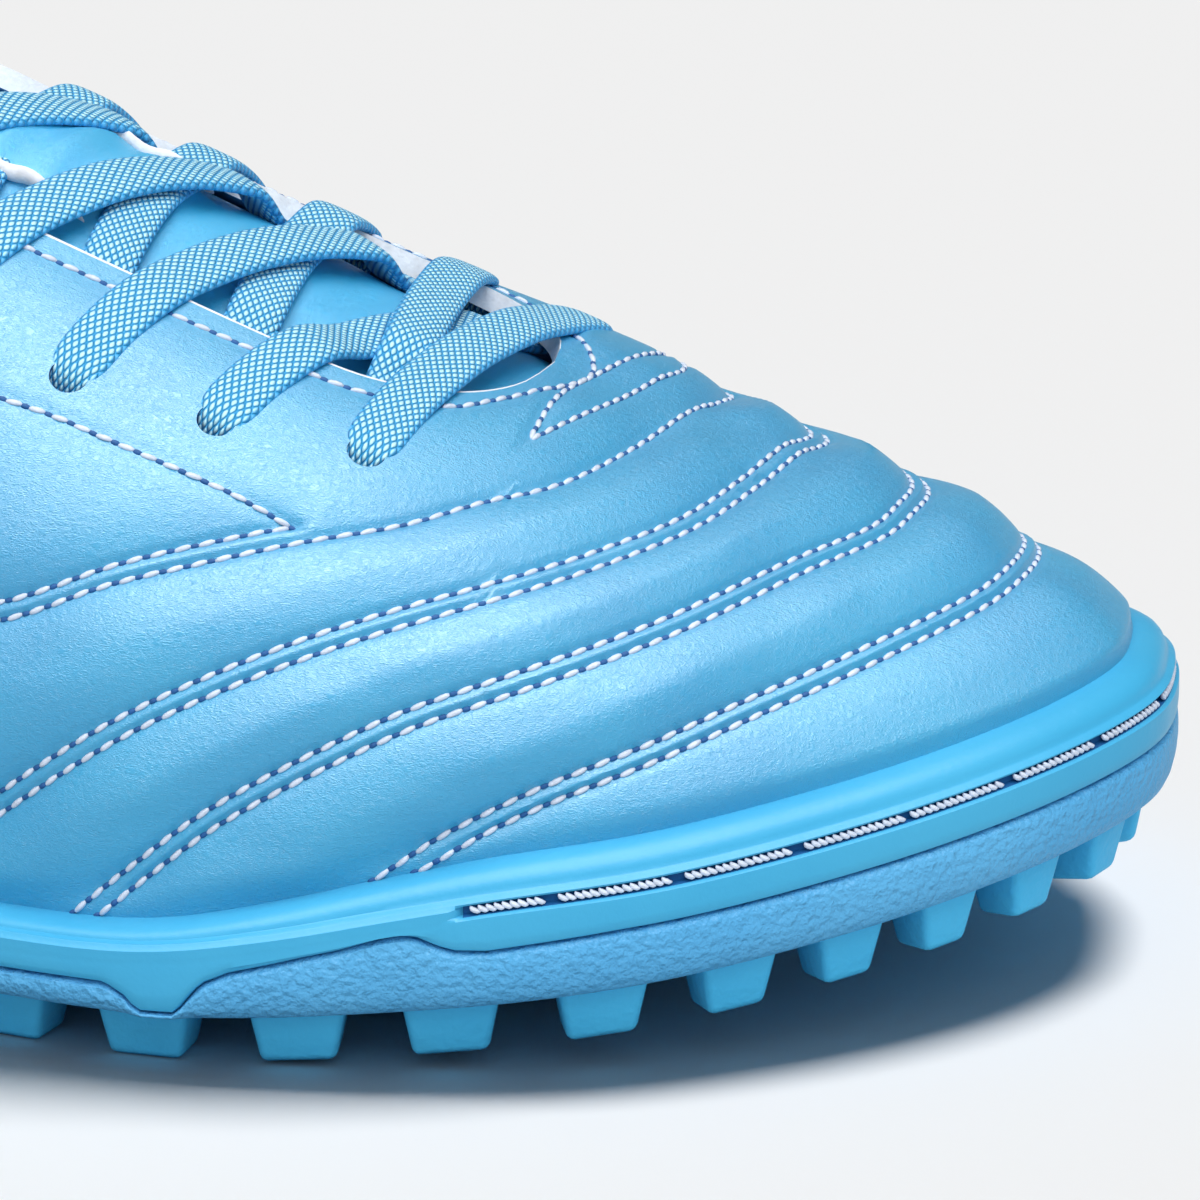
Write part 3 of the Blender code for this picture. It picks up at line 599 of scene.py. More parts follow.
def tree_of(grid: np.ndarray) -> BVHTree:
    """Search tree of a grid of points.

    Args:
        grid: rows, columns, xyz.

    Returns:
        The tree.
    """
    rows, columns = grid.shape[:2]
    corner = (np.arange(rows - 1)[:, None] * columns + np.arange(columns - 1)[None]).ravel()
    faces = np.stack([corner, corner + 1, corner + columns + 1, corner + columns], -1)
    return BVHTree.FromPolygons([Vector(p) for p in grid.reshape(-1, 3)], faces.tolist())


def sheet_mesh(name: str, grid: np.ndarray, weld: float = WELD, finishes: np.ndarray | None = None,
               uvs: tuple | None = None) -> bmesh.types.BMesh:
    """Makes a bmesh of a grid of points, with a UV in millimetres along columns and rows.

    Args:
        name: used in the log.
        grid: rows, columns, xyz in metres.
        weld: distance within which points are joined.
        finishes: material number of every face, by row and column; below 0 it is left out.
        uvs: across values of the columns and up values of the rows, if not measured on the grid.

    Returns:
        The bmesh, with double points joined.
    """
    rows, columns = grid.shape[:2]
    bm = bmesh.new()
    made = bmesh.ops.create_grid(bm, x_segments=columns - 1, y_segments=rows - 1, size=1.0)
    order = sorted(made["verts"], key=lambda v: (round(v.co.y, 6), v.co.x))
    uv = bm.loops.layers.uv.new("UVMap")
    if uvs is None:
        uvs = (run_of(grid[rows // 2]) / MM, run_of(grid[:, columns // 2]) / MM)
    flat = grid.reshape(-1, 3)
    places, left_out = {}, []
    for k, v in enumerate(order):
        places[v] = (k % columns, k // columns)
        v.co = flat[k]
    for face in bm.faces:
        for loop in face.loops:
            column, row = places[loop.vert]
            loop[uv].uv = (uvs[0][column], uvs[1][row])
        if finishes is not None:
            column = min(places[v][0] for v in face.verts)
            number = int(finishes[min(places[v][1] for v in face.verts), column])
            face.material_index = max(number, 0)
            if number < 0:
                left_out.append(face)
    bmesh.ops.delete(bm, geom=left_out, context="FACES_ONLY")
    bmesh.ops.remove_doubles(bm, verts=bm.verts, dist=weld)
    LOG.info("%s: %d faces", name, len(bm.faces))
    return bm


def close_ends(bm: bmesh.types.BMesh) -> None:
    """Fills every open end of a mesh."""
    bmesh.ops.holes_fill(bm, edges=[e for e in bm.edges if e.is_boundary], sides=0)


def add_piece(name: str, mesh: bpy.types.Mesh) -> bpy.types.Object:
    """Makes a piece of a mesh, which rides with the shoe.

    Args:
        name: name of the piece.
        mesh: its mesh.

    Returns:
        The object.
    """
    obj = bpy.data.objects.new(name, mesh)
    bpy.context.scene.collection.objects.link(obj)
    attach(obj, "root")
    return obj


def show(bm: bmesh.types.BMesh, name: str, materials: list, centre: np.ndarray,
         sharp: float) -> bpy.types.Object:
    """Turns a bmesh into a smooth piece that rides with the shoe.

    Args:
        bm: the mesh, in metres from the heel; it is freed.
        name: name of the piece.
        materials: its materials, in the order of the faces' material numbers.
        centre: taken off every point.
        sharp: angle in degrees above which an edge stays sharp.

    Returns:
        The object.
    """
    bmesh.ops.translate(bm, verts=bm.verts, vec=-Vector(centre))
    bmesh.ops.recalc_face_normals(bm, faces=bm.faces)
    mesh = bpy.data.meshes.new(name)
    bm.to_mesh(mesh)
    bm.free()
    mesh.shade_smooth()
    mesh.set_sharp_from_angle(angle=math.radians(sharp))
    for material in materials:
        mesh.materials.append(material)
    return add_piece(name, mesh)


# Finishes


class Nodes:
    """Short hand for building a material's node tree."""

    def __init__(self, name: str) -> None:
        """Starts a material with one Principled shader.

        Args:
            name: name of the material.
        """
        self.material = bpy.data.materials.new(name)
        self.material.use_nodes = True
        self.tree = self.material.node_tree
        self.shader = self.tree.nodes["Principled BSDF"]
        self.coords = self.tree.nodes.new("ShaderNodeTexCoord")

    def put(self, socket: bpy.types.NodeSocket, value: Value) -> None:
        """Links an input to an output, or sets it to a constant.

        Args:
            socket: the input.
            value: an output or a constant.
        """
        if isinstance(value, bpy.types.NodeSocket):
            self.tree.links.new(value, socket)
        else:
            socket.default_value = value

    def node(self, kind: str, out: int = 0, settings: dict | None = None,
             **inputs: Value) -> bpy.types.NodeSocket:
        """Adds a node.

        Args:
            kind: its type without the ShaderNode in front.
            out: number of the output to return.
            settings: its own properties.
            **inputs: its inputs by number (as _0, _1) or by name with _ for a space.

        Returns:
            The output socket.
        """
        node = self.tree.nodes.new("ShaderNode" + kind)
        for key, value in (settings or {}).items():
            setattr(node, key, value)
        for key, value in inputs.items():
            name = int(key[1:]) if key[0] == "_" else key.replace("_", " ")
            self.put(node.inputs[name], value)
        return node.outputs[out]

    def math(self, operation: str, a: Value, b: Value = 0.0) -> bpy.types.NodeSocket:
        """One sum of two values."""
        return self.node("Math", 0, {"operation": operation}, _0=a, _1=b)

    def noise(self, scale: float, detail: float = 3.0, rough: float = 0.5,
              vector: Value | None = None) -> bpy.types.NodeSocket:
        """Noise in a place's own coordinates; scale is per metre."""
        vector = vector or self.coords.outputs["Object"]
        return self.node("TexNoise", 0, None, Vector=vector, Scale=scale, Detail=detail, Roughness=rough)

    def span(self, value: Value, low: float, high: float, to_low: float = 0.0,
             to_high: float = 1.0) -> bpy.types.NodeSocket:
        """Maps a value from one range to another, clamped."""
        return self.node("MapRange", 0, None, Value=value, From_Min=low, From_Max=high,
                         To_Min=to_low, To_Max=to_high)

    def mix(self, share: Value, first: Value, second: Value) -> bpy.types.NodeSocket:
        """Mixes two colours."""
        settings = {"data_type": "RGBA"}
        return self.node("Mix", 2, settings, _0=share, _6=first, _7=second)

    def stretched(self, sizes: tuple, vector: Value | None = None) -> bpy.types.NodeSocket:
        """Coordinates multiplied along each axis."""
        vector = vector or self.coords.outputs["Object"]
        return self.node("Mapping", 0, None, Vector=vector, Scale=sizes)

    def bump(self, height: Value, strength: float, distance: float,
             normal: Value | None = None) -> bpy.types.NodeSocket:
        """Bump from a height; one bump can go over another."""
        under = {} if normal is None else {"Normal": normal}
        return self.node("Bump", 0, None, Height=height, Strength=strength, Distance=distance, **under)

    def finish(self, colour: Value, roughness: Value, normal: Value, over: Value | None = None,
               **constants: float) -> bpy.types.Material:
        """Sets the shader's inputs.

        Args:
            colour: base colour.
            roughness: its roughness.
            normal: its bump.
            over: bump of the coat, if not the same.
            **constants: other inputs by name with _ for a space.

        Returns:
            The material.
        """
        self.put(self.shader.inputs["Base Color"], colour)
        self.put(self.shader.inputs["Roughness"], roughness)
        self.put(self.shader.inputs["Normal"], normal)
        self.put(self.shader.inputs["Coat Normal"], over or normal)
        for key, value in constants.items():
            self.shader.inputs[key.replace("_", " ")].default_value = value
        return self.material


@dataclass(frozen=True)
class Leather:
    """Pebbled synthetic leather with fine wrinkles."""

    name: str = "blue_leather"
    colour: tuple = (0.008, 0.345, 0.62, 1)
    shade: tuple = (0.004, 0.305, 0.585, 1)
    roughness: float = 0.42
    pebble: float = 950.0
    wrinkle: float = 420.0
    drift_scale: float = 500.0
    drift: float = 1.6 * MM

    def make(self) -> bpy.types.Material:
        """Builds the material.

        Returns:
            The material.
        """
        n = Nodes(self.name)
        colour = n.mix(n.span(n.noise(45.0, 2.0), 0.35, 0.65), self.colour, self.shade)
        place, deep = n.coords.outputs["Object"], 0.1 * MM
        # The drift has no Vector input, so its scale counts over the piece's own box.
        drift = n.node("TexNoise", 1, None, Scale=self.drift_scale, Detail=2.0)
        drift = n.node("VectorMath", 0, {"operation": "SCALE"}, _0=drift, Scale=self.drift)
        warp = n.node("VectorMath", 0, {"operation": "ADD"}, _0=place, _1=drift)
        edges = {"feature": "DISTANCE_TO_EDGE"}
        cells = n.span(n.node("TexVoronoi", 0, edges, Vector=warp, Scale=self.pebble), 0.0, 0.30)
        long_warp = n.stretched((1.0, 0.7, 2.4), warp)
        folds = n.span(n.node("TexVoronoi", 0, edges, Vector=long_warp, Scale=self.wrinkle), 0.0, 0.07)
        fine = n.bump(n.noise(2600.0, 2.0), 0.1, deep, n.bump(folds, 0.25, deep, n.bump(cells, 0.5, deep)))
        over = n.bump(folds, 0.2, deep, n.bump(cells, 0.38, deep))
        rough = n.span(n.noise(400.0, 3.0), 0.3, 0.7, self.roughness - 0.05, self.roughness + 0.06)
        return n.finish(colour, rough, fine, over, Coat_Weight=1.0, Coat_Roughness=0.5, Coat_IOR=1.75,
                        Specular_IOR_Level=0.3)


@dataclass(frozen=True)
class Rubber:
    """Moulded rubber: smooth, or with a fine cast texture."""

    name: str
    colour: tuple
    shade: tuple
    roughness: float
    grain: float
    coat: float = 0.1

    def make(self) -> bpy.types.Material:
        """Builds the material.

        Returns:
            The material.
        """
        n = Nodes(self.name)
        colour = n.mix(n.span(n.noise(60.0, 3.0), 0.35, 0.65), self.colour, self.shade)
        coarse = n.bump(n.noise(1150.0, 2.0), min(1.0, 2.2 * self.grain), 0.6 * MM)
        fine = n.bump(n.noise(5000.0, 2.0), 0.08, 0.1 * MM, coarse)
        rough = n.span(n.noise(300.0, 2.0), 0.3, 0.7, self.roughness - 0.04, self.roughness + 0.05)
        return n.finish(colour, rough, fine, Coat_Weight=self.coat, Coat_Roughness=0.3,
                        Specular_IOR_Level=0.15)


@dataclass(frozen=True)
class Braid:
    """Flat braided lace: light flecks on blue, woven both ways, bare at its edges; its UV is in mm."""

    name: str = "lace_braid"
    colour: tuple = (0.012, 0.37, 0.79, 1)
    fleck: tuple = (0.50, 0.88, 0.98, 1)
    pitch: float = 0.86
    lean: float = 0.62
    bare_edge: tuple = (2.35, 2.75)

    def make(self) -> bpy.types.Material:
        """Builds the material.

        Returns:
            The material.
        """
        n = Nodes(self.name)
        split = n.tree.nodes.new("ShaderNodeSeparateXYZ")
        n.put(split.inputs[0], n.coords.outputs["UV"])
        along, across = split.outputs[0], split.outputs[1]
        turn = math.pi / self.pitch
        run = n.math("MULTIPLY", along, self.lean)
        first = n.math("SINE", n.math("MULTIPLY", n.math("ADD", run, across), turn))
        second = n.math("SINE", n.math("MULTIPLY", n.math("SUBTRACT", run, across), turn))
        weave = n.math("ABSOLUTE", n.math("MULTIPLY", first, second))
        fuzz = n.noise(3500.0, 2.0)
        fleck = n.span(n.math("ADD", weave, n.math("MULTIPLY", fuzz, 0.3)), 0.40, 0.80)
        light = n.math("MULTIPLY", fleck, n.span(n.math("ABSOLUTE", across), *self.bare_edge, 1.0, 0.12))
        colour = n.mix(light, self.colour, self.fleck)
        threads = n.math("ADD", n.math("POWER", weave, 0.6), n.math("MULTIPLY", fuzz, 0.25))
        normal = n.bump(threads, 0.9, 0.4 * MM)
        return n.finish(colour, 0.6, normal, Sheen_Weight=0.05, Sheen_Roughness=0.4)


@dataclass(frozen=True)
class Plain:
    """One colour with a faint mottle and a fine bump: thread, cut edges, lining, and the painted shade of
    holes.
    """

    name: str
    colour: tuple
    roughness: float = 0.8
    grain: float = 0.3
    grain_scale: float = 3000.0

    def make(self) -> bpy.types.Material:
        """Builds the material.

        Returns:
            The material.
        """
        n = Nodes(self.name)
        dark = tuple(0.85 * c for c in self.colour[:3]) + (1,)
        colour = n.mix(n.span(n.noise(self.grain_scale / 4, 2.0), 0.35, 0.65), self.colour, dark)
        normal = n.bump(n.noise(self.grain_scale, 2.0), self.grain, 0.2 * MM)
        return n.finish(colour, self.roughness, normal)


# Stitching


def frame_of(x: np.ndarray, z: np.ndarray, place: np.ndarray, turn: Matrix) -> Matrix:
    """Frame at a place.

    Args:
        x: direction of its X.
        z: direction of its Z, square to X.
        place: its origin.
        turn: a turn about its own axes.

    Returns:
        The frame.
    """
    made = Matrix(np.column_stack([x, np.cross(z, x), z]).tolist()).to_4x4() @ turn
    made.translation = Vector(place)
    return made


@dataclass
class Seam:
    """A stitch row: even points and the directions square to the leather there."""

    points: np.ndarray
    normals: np.ndarray


@dataclass
class Stitching:
    """Thread of all the rows, and dark marks between the stitches: painted shade of the needle holes."""

    pitch: float = 2.45 * MM
    length: float = 1.85 * MM
    radius: float = 0.31 * MM
    lift: float = 0.12 * MM
    # Size of the dark marks painted as the shade in the needle holes.
    hole: float = 0.32 * MM
    hole_shade_length: float = 1.09 * MM
    slant: float = 6.0

    def grain(self, length: float, radius: float, segments: int) -> bmesh.types.BMesh:
        """One stitch: a plump grain that lies along X.

        Args:
            length: its length.
            radius: its radius.
            segments: sides round it.

        Returns:
            The grain as a bmesh.
        """
        bm = bmesh.new()
        bmesh.ops.create_uvsphere(bm, u_segments=segments, v_segments=6, radius=1.0)
        bmesh.ops.rotate(bm, verts=bm.verts, cent=(0, 0, 0), matrix=Matrix.Rotation(math.pi / 2, 3, "Y"))
        for v in bm.verts:
            full = math.copysign(abs(v.co.x) ** 0.8, v.co.x)
            droop = 0.5 * radius * full ** 4
            v.co = Vector((full * length / 2, v.co.y * radius, v.co.z * radius * 0.9 - droop))
        return bm

    def spread(self, name: str, template: bmesh.types.BMesh, frames: list, material: bpy.types.Material,
               foot: Footprint, slot: str) -> bpy.types.Object:
        """Copies a template to each frame as one mesh.

        Args:
            name: name of the piece.
            template: the bmesh to copy; it is freed.
            frames: matrices, in metres from the heel.
            material: the copies' material.
            foot: the footprint, for its centre.
            slot: not used.

        Returns:
            The object.
        """
        template.verts.ensure_lookup_table()
        local = np.array([v.co for v in template.verts])
        local = np.column_stack([local, np.ones(len(local))])
        faces = [[v.index for v in f.verts] for f in template.faces]
        template.free()
        points = np.concatenate([local @ np.array(m).T for m in frames])[:, :3] - foot.centre
        every = []
        for k in range(len(frames)):
            every += [[i + k * len(local) for i in f] for f in faces]
        mesh = bpy.data.meshes.new(name)
        mesh.from_pydata(points.tolist(), [], every)
        mesh.shade_smooth()
        mesh.materials.append(material)
        LOG.info("%s: %d copies", name, len(frames))
        return add_piece(name, mesh)

    def frames(self, seam: Seam, offset: float, lift: float, slant: float) -> list:
        """Frames along a seam.

        Args:
            seam: the row.
            offset: share of a pitch where the first lies.
            lift: height over the leather.
            slant: turn about the normal, in degrees.

        Returns:
            Matrices with X along the row and Z out of the leather.
        """
        run = run_of(seam.points)
        count = int(run[-1] / self.pitch)
        turn = Matrix.Rotation(math.radians(slant), 4, "Z")
        made = []
        for k in range(count):
            s = (k + offset) * run[-1] / count
            places = [s, s + self.pitch / 2, s - self.pitch / 2]
            at, ahead, behind = np.stack([np.interp(places, run, line) for line in seam.points.T], -1)
            out = np.array([np.interp(s, run, line) for line in seam.normals.T])
            x = unit(ahead - behind)
            z = np.cross(x, unit(np.cross(out, x)))
            made.append(frame_of(x, z, at + z * lift, turn))
        return made

    def build(self, seams: list, thread: bpy.types.Material, dark: bpy.types.Material,
              foot: Footprint) -> None:
        """Makes the thread of all the rows and the dark marks painted as shade at their needle holes.

        Args:
            seams: the rows.
            thread: material of the stitches.
            dark: near-black blue painted as the shade in the holes.
            foot: the footprint, for its centre.
        """
        stitches, holes = [], []
        for seam in seams:
            stitches += self.frames(seam, 0.5, self.lift, self.slant)
            holes += self.frames(seam, 0.0, 0.0, 0.0)
        thread_grain = self.grain(self.length, self.radius, 8)
        self.spread("stitch_thread", thread_grain, stitches, thread, foot, "upper_leather")
        # Flattened near-black blue grains between the stitches: painted shade of the needle holes.
        hole_shade_grain = self.grain(self.hole_shade_length, self.hole, 6)
        self.spread("needle_holes", hole_shade_grain, holes, dark, foot, "upper_leather")


# Upper


@dataclass
class Upper:
    """Quilted leather shell: fine outside with relief, plain inside, white cut edge at the throat.

    The columns lie closer together towards the toe: how much, from where and up to where.
    """

    last: Last
    wall: float = 2.0 * MM
    padding: float = 4.5 * MM
    columns: int = 600
    closer: tuple = (2.4, 0.50, 0.57)
    rows: int = 132
    inner_rows: int = 14
    puff: float = 1.45 * MM
    puff_reach: float = 3.4 * MM
    valley: float = 0.45 * MM
    valley_width: float = 0.62 * MM
    sink: float = 0.45 * MM
    pair_gap: float = 1.85 * MM
    row_step: float = 0.4 * MM
    edge_gap: float = 3.2 * MM
    rim: float = 0.35 * MM
    front_turn: float = 0.697
    eyelet_radius: float = 2.0 * MM
    collar_end: float = 0.43
    crease_width: float = 1.8 * MM
    bare: BVHTree | None = None
    quilting: list[Seam] = field(default_factory=list)
    flat: list[Seam] = field(default_factory=list)

    def drop(self, points: np.ndarray) -> tuple:
        """Drops points on the bare last.

        Args:
            points: points near the last.

        Returns:
            The nearest places on it, and the directions square to it there.
        """
        found = [self.bare.find_nearest(Vector(p)) for p in points]
        places = np.array([hit for hit, *_ in found])
        normals = np.array([normal for _, normal, *_ in found])
        outwards = np.sign(np.einsum("ij,ij->i", normals, places - self.heart(places)))
        return places, normals * outwards[:, None]

    def heart(self, places: np.ndarray) -> np.ndarray:
        """Points low inside the last.

        Args:
            places: places on the last.

        Returns:
            A point level with each of them.
        """
        deep = np.minimum(places[:, 0], self.last.foot.length * 0.88)
        return np.column_stack([deep, 0 * deep + self.last.foot.ball_width * 0.03, 0 * deep + 14 * MM])

    def lay(self, points: np.ndarray, aside: float = 0.0) -> Seam:
        """Lays a row on the bare last.

        Args:
            points: a few places along it.
            aside: how far it is moved towards toe and sole.

        Returns:
            The row.
        """
        line, normals = self.drop(smooth(through(points, self.row_step), 1.8 * MM / self.row_step))
        normals = unit(smooth(normals, 3.0 * MM / self.row_step))
        if aside:
            moved = line + aside * unit(np.cross(np.gradient(line, axis=0), normals))
            line = self.drop(moved)[0]
            held = np.nonzero(np.linalg.norm(line - moved, axis=1) < 0.3 * MM)[0]
            first, last = held[0], held[-1] + 1
            line, normals = smooth(line[first:last], 1.0 * MM / self.row_step), normals[first:last]
        return Seam(line, normals)

    def places(self, row: tuple) -> np.ndarray:
        """Points on the last of a row's turns and shares."""
        return np.array([self.last.surface(turn * math.pi, share) for turn, share in row])

    def lay_rows(self) -> None:
        """Lays every stitch row, and those beside the throat's edge and below the collar."""
        angles = np.linspace(0, 2 * math.pi, 721)
        shares = np.linspace(0, 1, 70)[:, None] * self.last.throat_cut(angles)[None]
        self.bare = tree_of(self.last.surface(angles[None], shares))
        for row in DOUBLE_ROWS.values():
            points = self.places(row)
            self.quilting += [self.lay(points), self.lay(points, self.pair_gap)]
        self.quilting += [self.lay(self.places(row)) for row in SINGLE_ROWS.values()]
        self.flat = [self.lay(self.places(row)) for row in FLAT_ROWS.values()]
        share = self.edge_gap / self.last.section_chord
        turns = np.linspace(0.415, self.front_turn - 0.012, 34)
        row = [(turn, float(self.last.throat_cut(turn * math.pi)) - share) for turn in turns]
        ahead = (self.front_turn + 0.011, 1.0)
        facing = row + [ahead] + [(2 - turn, up) for turn, up in row[::-1]]
        collar = [(turn, 0.93) for turn in np.linspace(0.405, -0.405, 50)]
        self.flat += [self.lay(self.places(facing)), self.lay(self.places(collar))]

    def distances(self, points: np.ndarray, seams: list) -> np.ndarray:
        """Distance of each point to the nearest of the rows.

        Args:
            points: the points.
            seams: the rows.

        Returns:
            The distances.
        """
        line = np.vstack([seam.points for seam in seams])
        along = unit(np.vstack([np.gradient(seam.points, axis=0) for seam in seams]))
        tree = KDTree(len(line))
        for k, p in enumerate(line):
            tree.insert(p, k)
        tree.balance()
        nearest = np.array([tree.find(p)[1] for p in points])
        off = points - line[nearest]
        run = np.einsum("ij,ij->i", off, along[nearest])
        run = np.clip(run, -self.row_step / 2, self.row_step / 2)
        return np.linalg.norm(off - run[:, None] * along[nearest], axis=1)

    def shares(self, angles: np.ndarray, keep: np.ndarray) -> np.ndarray:
        """Shares of the grid's points up each section, closer together along the stitch rows.

        Args:
            angles: angles of the columns.
            keep: share of each section below the throat.

        Returns:
            The shares by row and column.
        """
        even = np.linspace(0, 1, 220)
        t = even[:, None] * keep[None]
        points = self.last.surface(angles[None], t).reshape(-1, 3)
        near = self.distances(points, self.quilting).reshape(t.shape)
        weight = 1 + 3.5 * np.exp(-(near / (1.5 * MM)) ** 2)
        weight = smooth(weight.T, 4.0).T
        run = np.concatenate([0 * keep[None], np.cumsum((weight[1:] + weight[:-1]) / 2, axis=0)])
        steps = np.linspace(0, 1, self.rows)
        spaced = [np.interp(steps * run[-1, k], run[:, k], even) for k in range(len(angles))]
        spaced = np.stack(spaced, 1)
        spaced[-2] = 1 - self.rim / self.last.section_chord
        return spaced * keep[None]

    def relief(self, points: np.ndarray, t: np.ndarray, keep: np.ndarray) -> np.ndarray:
        """How far the leather stands out from the last.

        Args:
            points: places on the last.
            t: their shares up the section.
            keep: share of each section below the throat.

        Returns:
            Heights in metres.
        """
        flat = points.reshape(-1, 3)
        quilt, plain = self.distances(flat, self.quilting), self.distances(flat, self.flat)
        crown = self.puff * (1 - np.exp(-(quilt / self.puff_reach) ** 1.5))
        valleys = self.valley * (np.exp(-(quilt / self.valley_width) ** 2)
                                 + np.exp(-(plain / self.valley_width) ** 2))
        height = (crown - valleys - self.creases(flat) - self.sink).reshape(t.shape)
        return height * ramp(t, 0.0, 0.05) * (0.25 + 0.75 * ramp(keep[None] - t, 0.0, 0.12))

    def creases(self, flat: np.ndarray) -> np.ndarray:
        """Soft troughs at listed places.

        Args:
            flat: points on the last.

        Returns:
            Depths in metres.
        """
        depth = np.zeros(len(flat))
        for turn, share, d_turn, d_share, length, deep in CREASES:
            a = self.last.surface((turn - d_turn / 2) * math.pi, share - d_share / 2)
            b = self.last.surface((turn + d_turn / 2) * math.pi, share + d_share / 2)
            along = unit(b - a)
            off = flat - (a + b) / 2
            run = off @ along
            aside = np.linalg.norm(off - run[:, None] * along, axis=1)
            depth += deep * MM * np.exp(-(run / (length * MM / 2)) ** 2 - (aside / self.crease_width) ** 2)
        return depth

    def inner_side(self, angles: np.ndarray, keep: np.ndarray, top: np.ndarray) -> np.ndarray:
        """Inside of the shell from its upper edge down, thicker at the padded collar.

        Args:
            angles: angles of the columns.
            keep: share of each section below the throat.
            top: station where each section ends.

        Returns:
            The points by row and column.
        """
        t = np.linspace(1, 0, self.inner_rows)[:, None] * keep[None]
        around = np.broadcast_to(angles, t.shape)
        padded = self.padding * (1 - ramp(top, 0.36, 0.46))
        deep = self.wall + padded[None] * ramp(t / keep[None], 0.45, 0.85)
        return self.last.surface(around, t) - self.last.normal(around, t) * deep[..., None]

    def face_finishes(self, keep: np.ndarray, top: np.ndarray) -> np.ndarray:
        """Material numbers: leather outside, raw edge along the throat, lining inside.

        Args:
            keep: share of each section below the throat.
            top: station where each section ends.

        Returns:
            The numbers by row and column, below 0 where the closed throat has no edge.
        """
        finishes = np.full((self.rows + self.inner_rows + 4, len(keep) - 1), 2)
        finishes[:self.rows] = 0
        closed = (keep > 0.99999) & (top > 0.70)
        in_throat = top[:-1] > self.collar_end
        finishes[self.rows - 1] = in_throat & ~closed[:-1]
        edge = np.where(in_throat, 1, 2)
        finishes[self.rows:self.rows + 3] = np.where(closed[:-1] & closed[1:], -1, edge)
        return finishes

    def build(self, leather: bpy.types.Material, cut_edge: bpy.types.Material, lining: bpy.types.Material,
              dark: bpy.types.Material) -> bpy.types.Object:
        """Makes the shell and punches its eyelets.

        Args:
            leather: material of the outside.
            cut_edge: material of the raw edge.
            lining: material of the inside.
            dark: near-black blue painted on the eyelets' walls as their shade.

        Returns:
            The shell.
        """
        last, foot = self.last, self.last.foot
        self.lay_rows()
        angles = round_angles(self.columns, *self.closer)
        keep, top = last.throat_cut(angles), last.top_line(angles)[2]
        t = self.shares(angles, keep)
        around = np.broadcast_to(angles, t.shape)
        surface, normals = last.surface(around, t), last.normal(around, t)
        outside = surface + normals * self.relief(surface, t, keep)[..., None]
        hem = [outside[-1] - normals[-1] * self.wall * share for share in (0.25, 0.75)]
        plan, outward = foot.plan(angles), foot.outward(angles)
        within = plan - outward * (foot.feather_inset + self.wall)
        inside = self.inner_side(angles, keep, top)
        inside[-1] = np.column_stack([within, surface[0][:, 2]])
        skirt = foot.cup_floor(plan[:, 0]) + foot.clearance
        outer_foot = np.column_stack([plan - outward * foot.feather_inset, skirt])
        inner_foot = np.column_stack([within, skirt])
        grid = np.concatenate([outer_foot[None], outside, hem, inside, inner_foot[None], outer_foot[None]])
        bm = sheet_mesh("upper", grid, 10 * WELD, self.face_finishes(keep, top))
        obj = show(bm, "leather_upper", [leather, cut_edge, lining], foot.centre, 50)
        self.punch(obj, dark)
        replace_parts(obj, "upper")
        return obj

    def punch(self, obj: bpy.types.Object, material: bpy.types.Material) -> None:
        """Cuts the eyelets through both facings.

        Args:
            obj: the shell.
            material: near-black blue painted on the eyelets' walls as their shade.
        """
        bm = bmesh.new()
        centre = self.last.foot.centre
        for side in Side:
            for number in range(len(OUTER_EYELETS)):
                point, normal = self.last.eyelet(side, number)
                turn = Vector(normal).to_track_quat("Z", "Y").to_matrix().to_4x4()
                turn.translation = Vector(point - centre)
                bmesh.ops.create_cone(bm, cap_ends=True, segments=32, radius1=self.eyelet_radius,
                                      radius2=self.eyelet_radius, depth=self.wall * 5, matrix=turn)
        mesh = bpy.data.meshes.new("punches")
        bm.to_mesh(mesh)
        bm.free()
        mesh.materials.append(material)
        punches = bpy.data.objects.new("punches", mesh)
        bpy.context.scene.collection.objects.link(punches)
        cut = obj.modifiers.new("eyelets", "BOOLEAN")
        cut.operation = "DIFFERENCE"
        cut.solver = "EXACT"
        cut.material_mode = "TRANSFER"
        cut.object = punches
        graph = bpy.context.evaluated_depsgraph_get()
        done = bpy.data.meshes.new_from_object(obj.evaluated_get(graph))
        obj.modifiers.clear()
        obj.data = done
        bpy.data.objects.remove(punches, do_unlink=True)

    def sewn(self, obj: bpy.types.Object) -> list:
        """The rows on the finished leather, straight out from where they lie on the last.

        Args:
            obj: the shell.

        Returns:
            The rows.
        """
        centre = self.last.foot.centre
        bm = bmesh.new()
        bm.from_mesh(obj.data)
        tree = BVHTree.FromBMesh(bm)
        bm.free()
        seams = []
        for seam in self.quilting + self.flat:
            points = []
            for p, normal in zip(seam.points, seam.normals):
                hit = tree.ray_cast(Vector(p - centre + normal * 5 * MM), Vector(-normal), 9 * MM)[0]
                points.append(p if hit is None else np.array(hit) + centre)
            seams.append(Seam(smooth(np.array(points), 1.5), seam.normals))
        return seams


# Sole


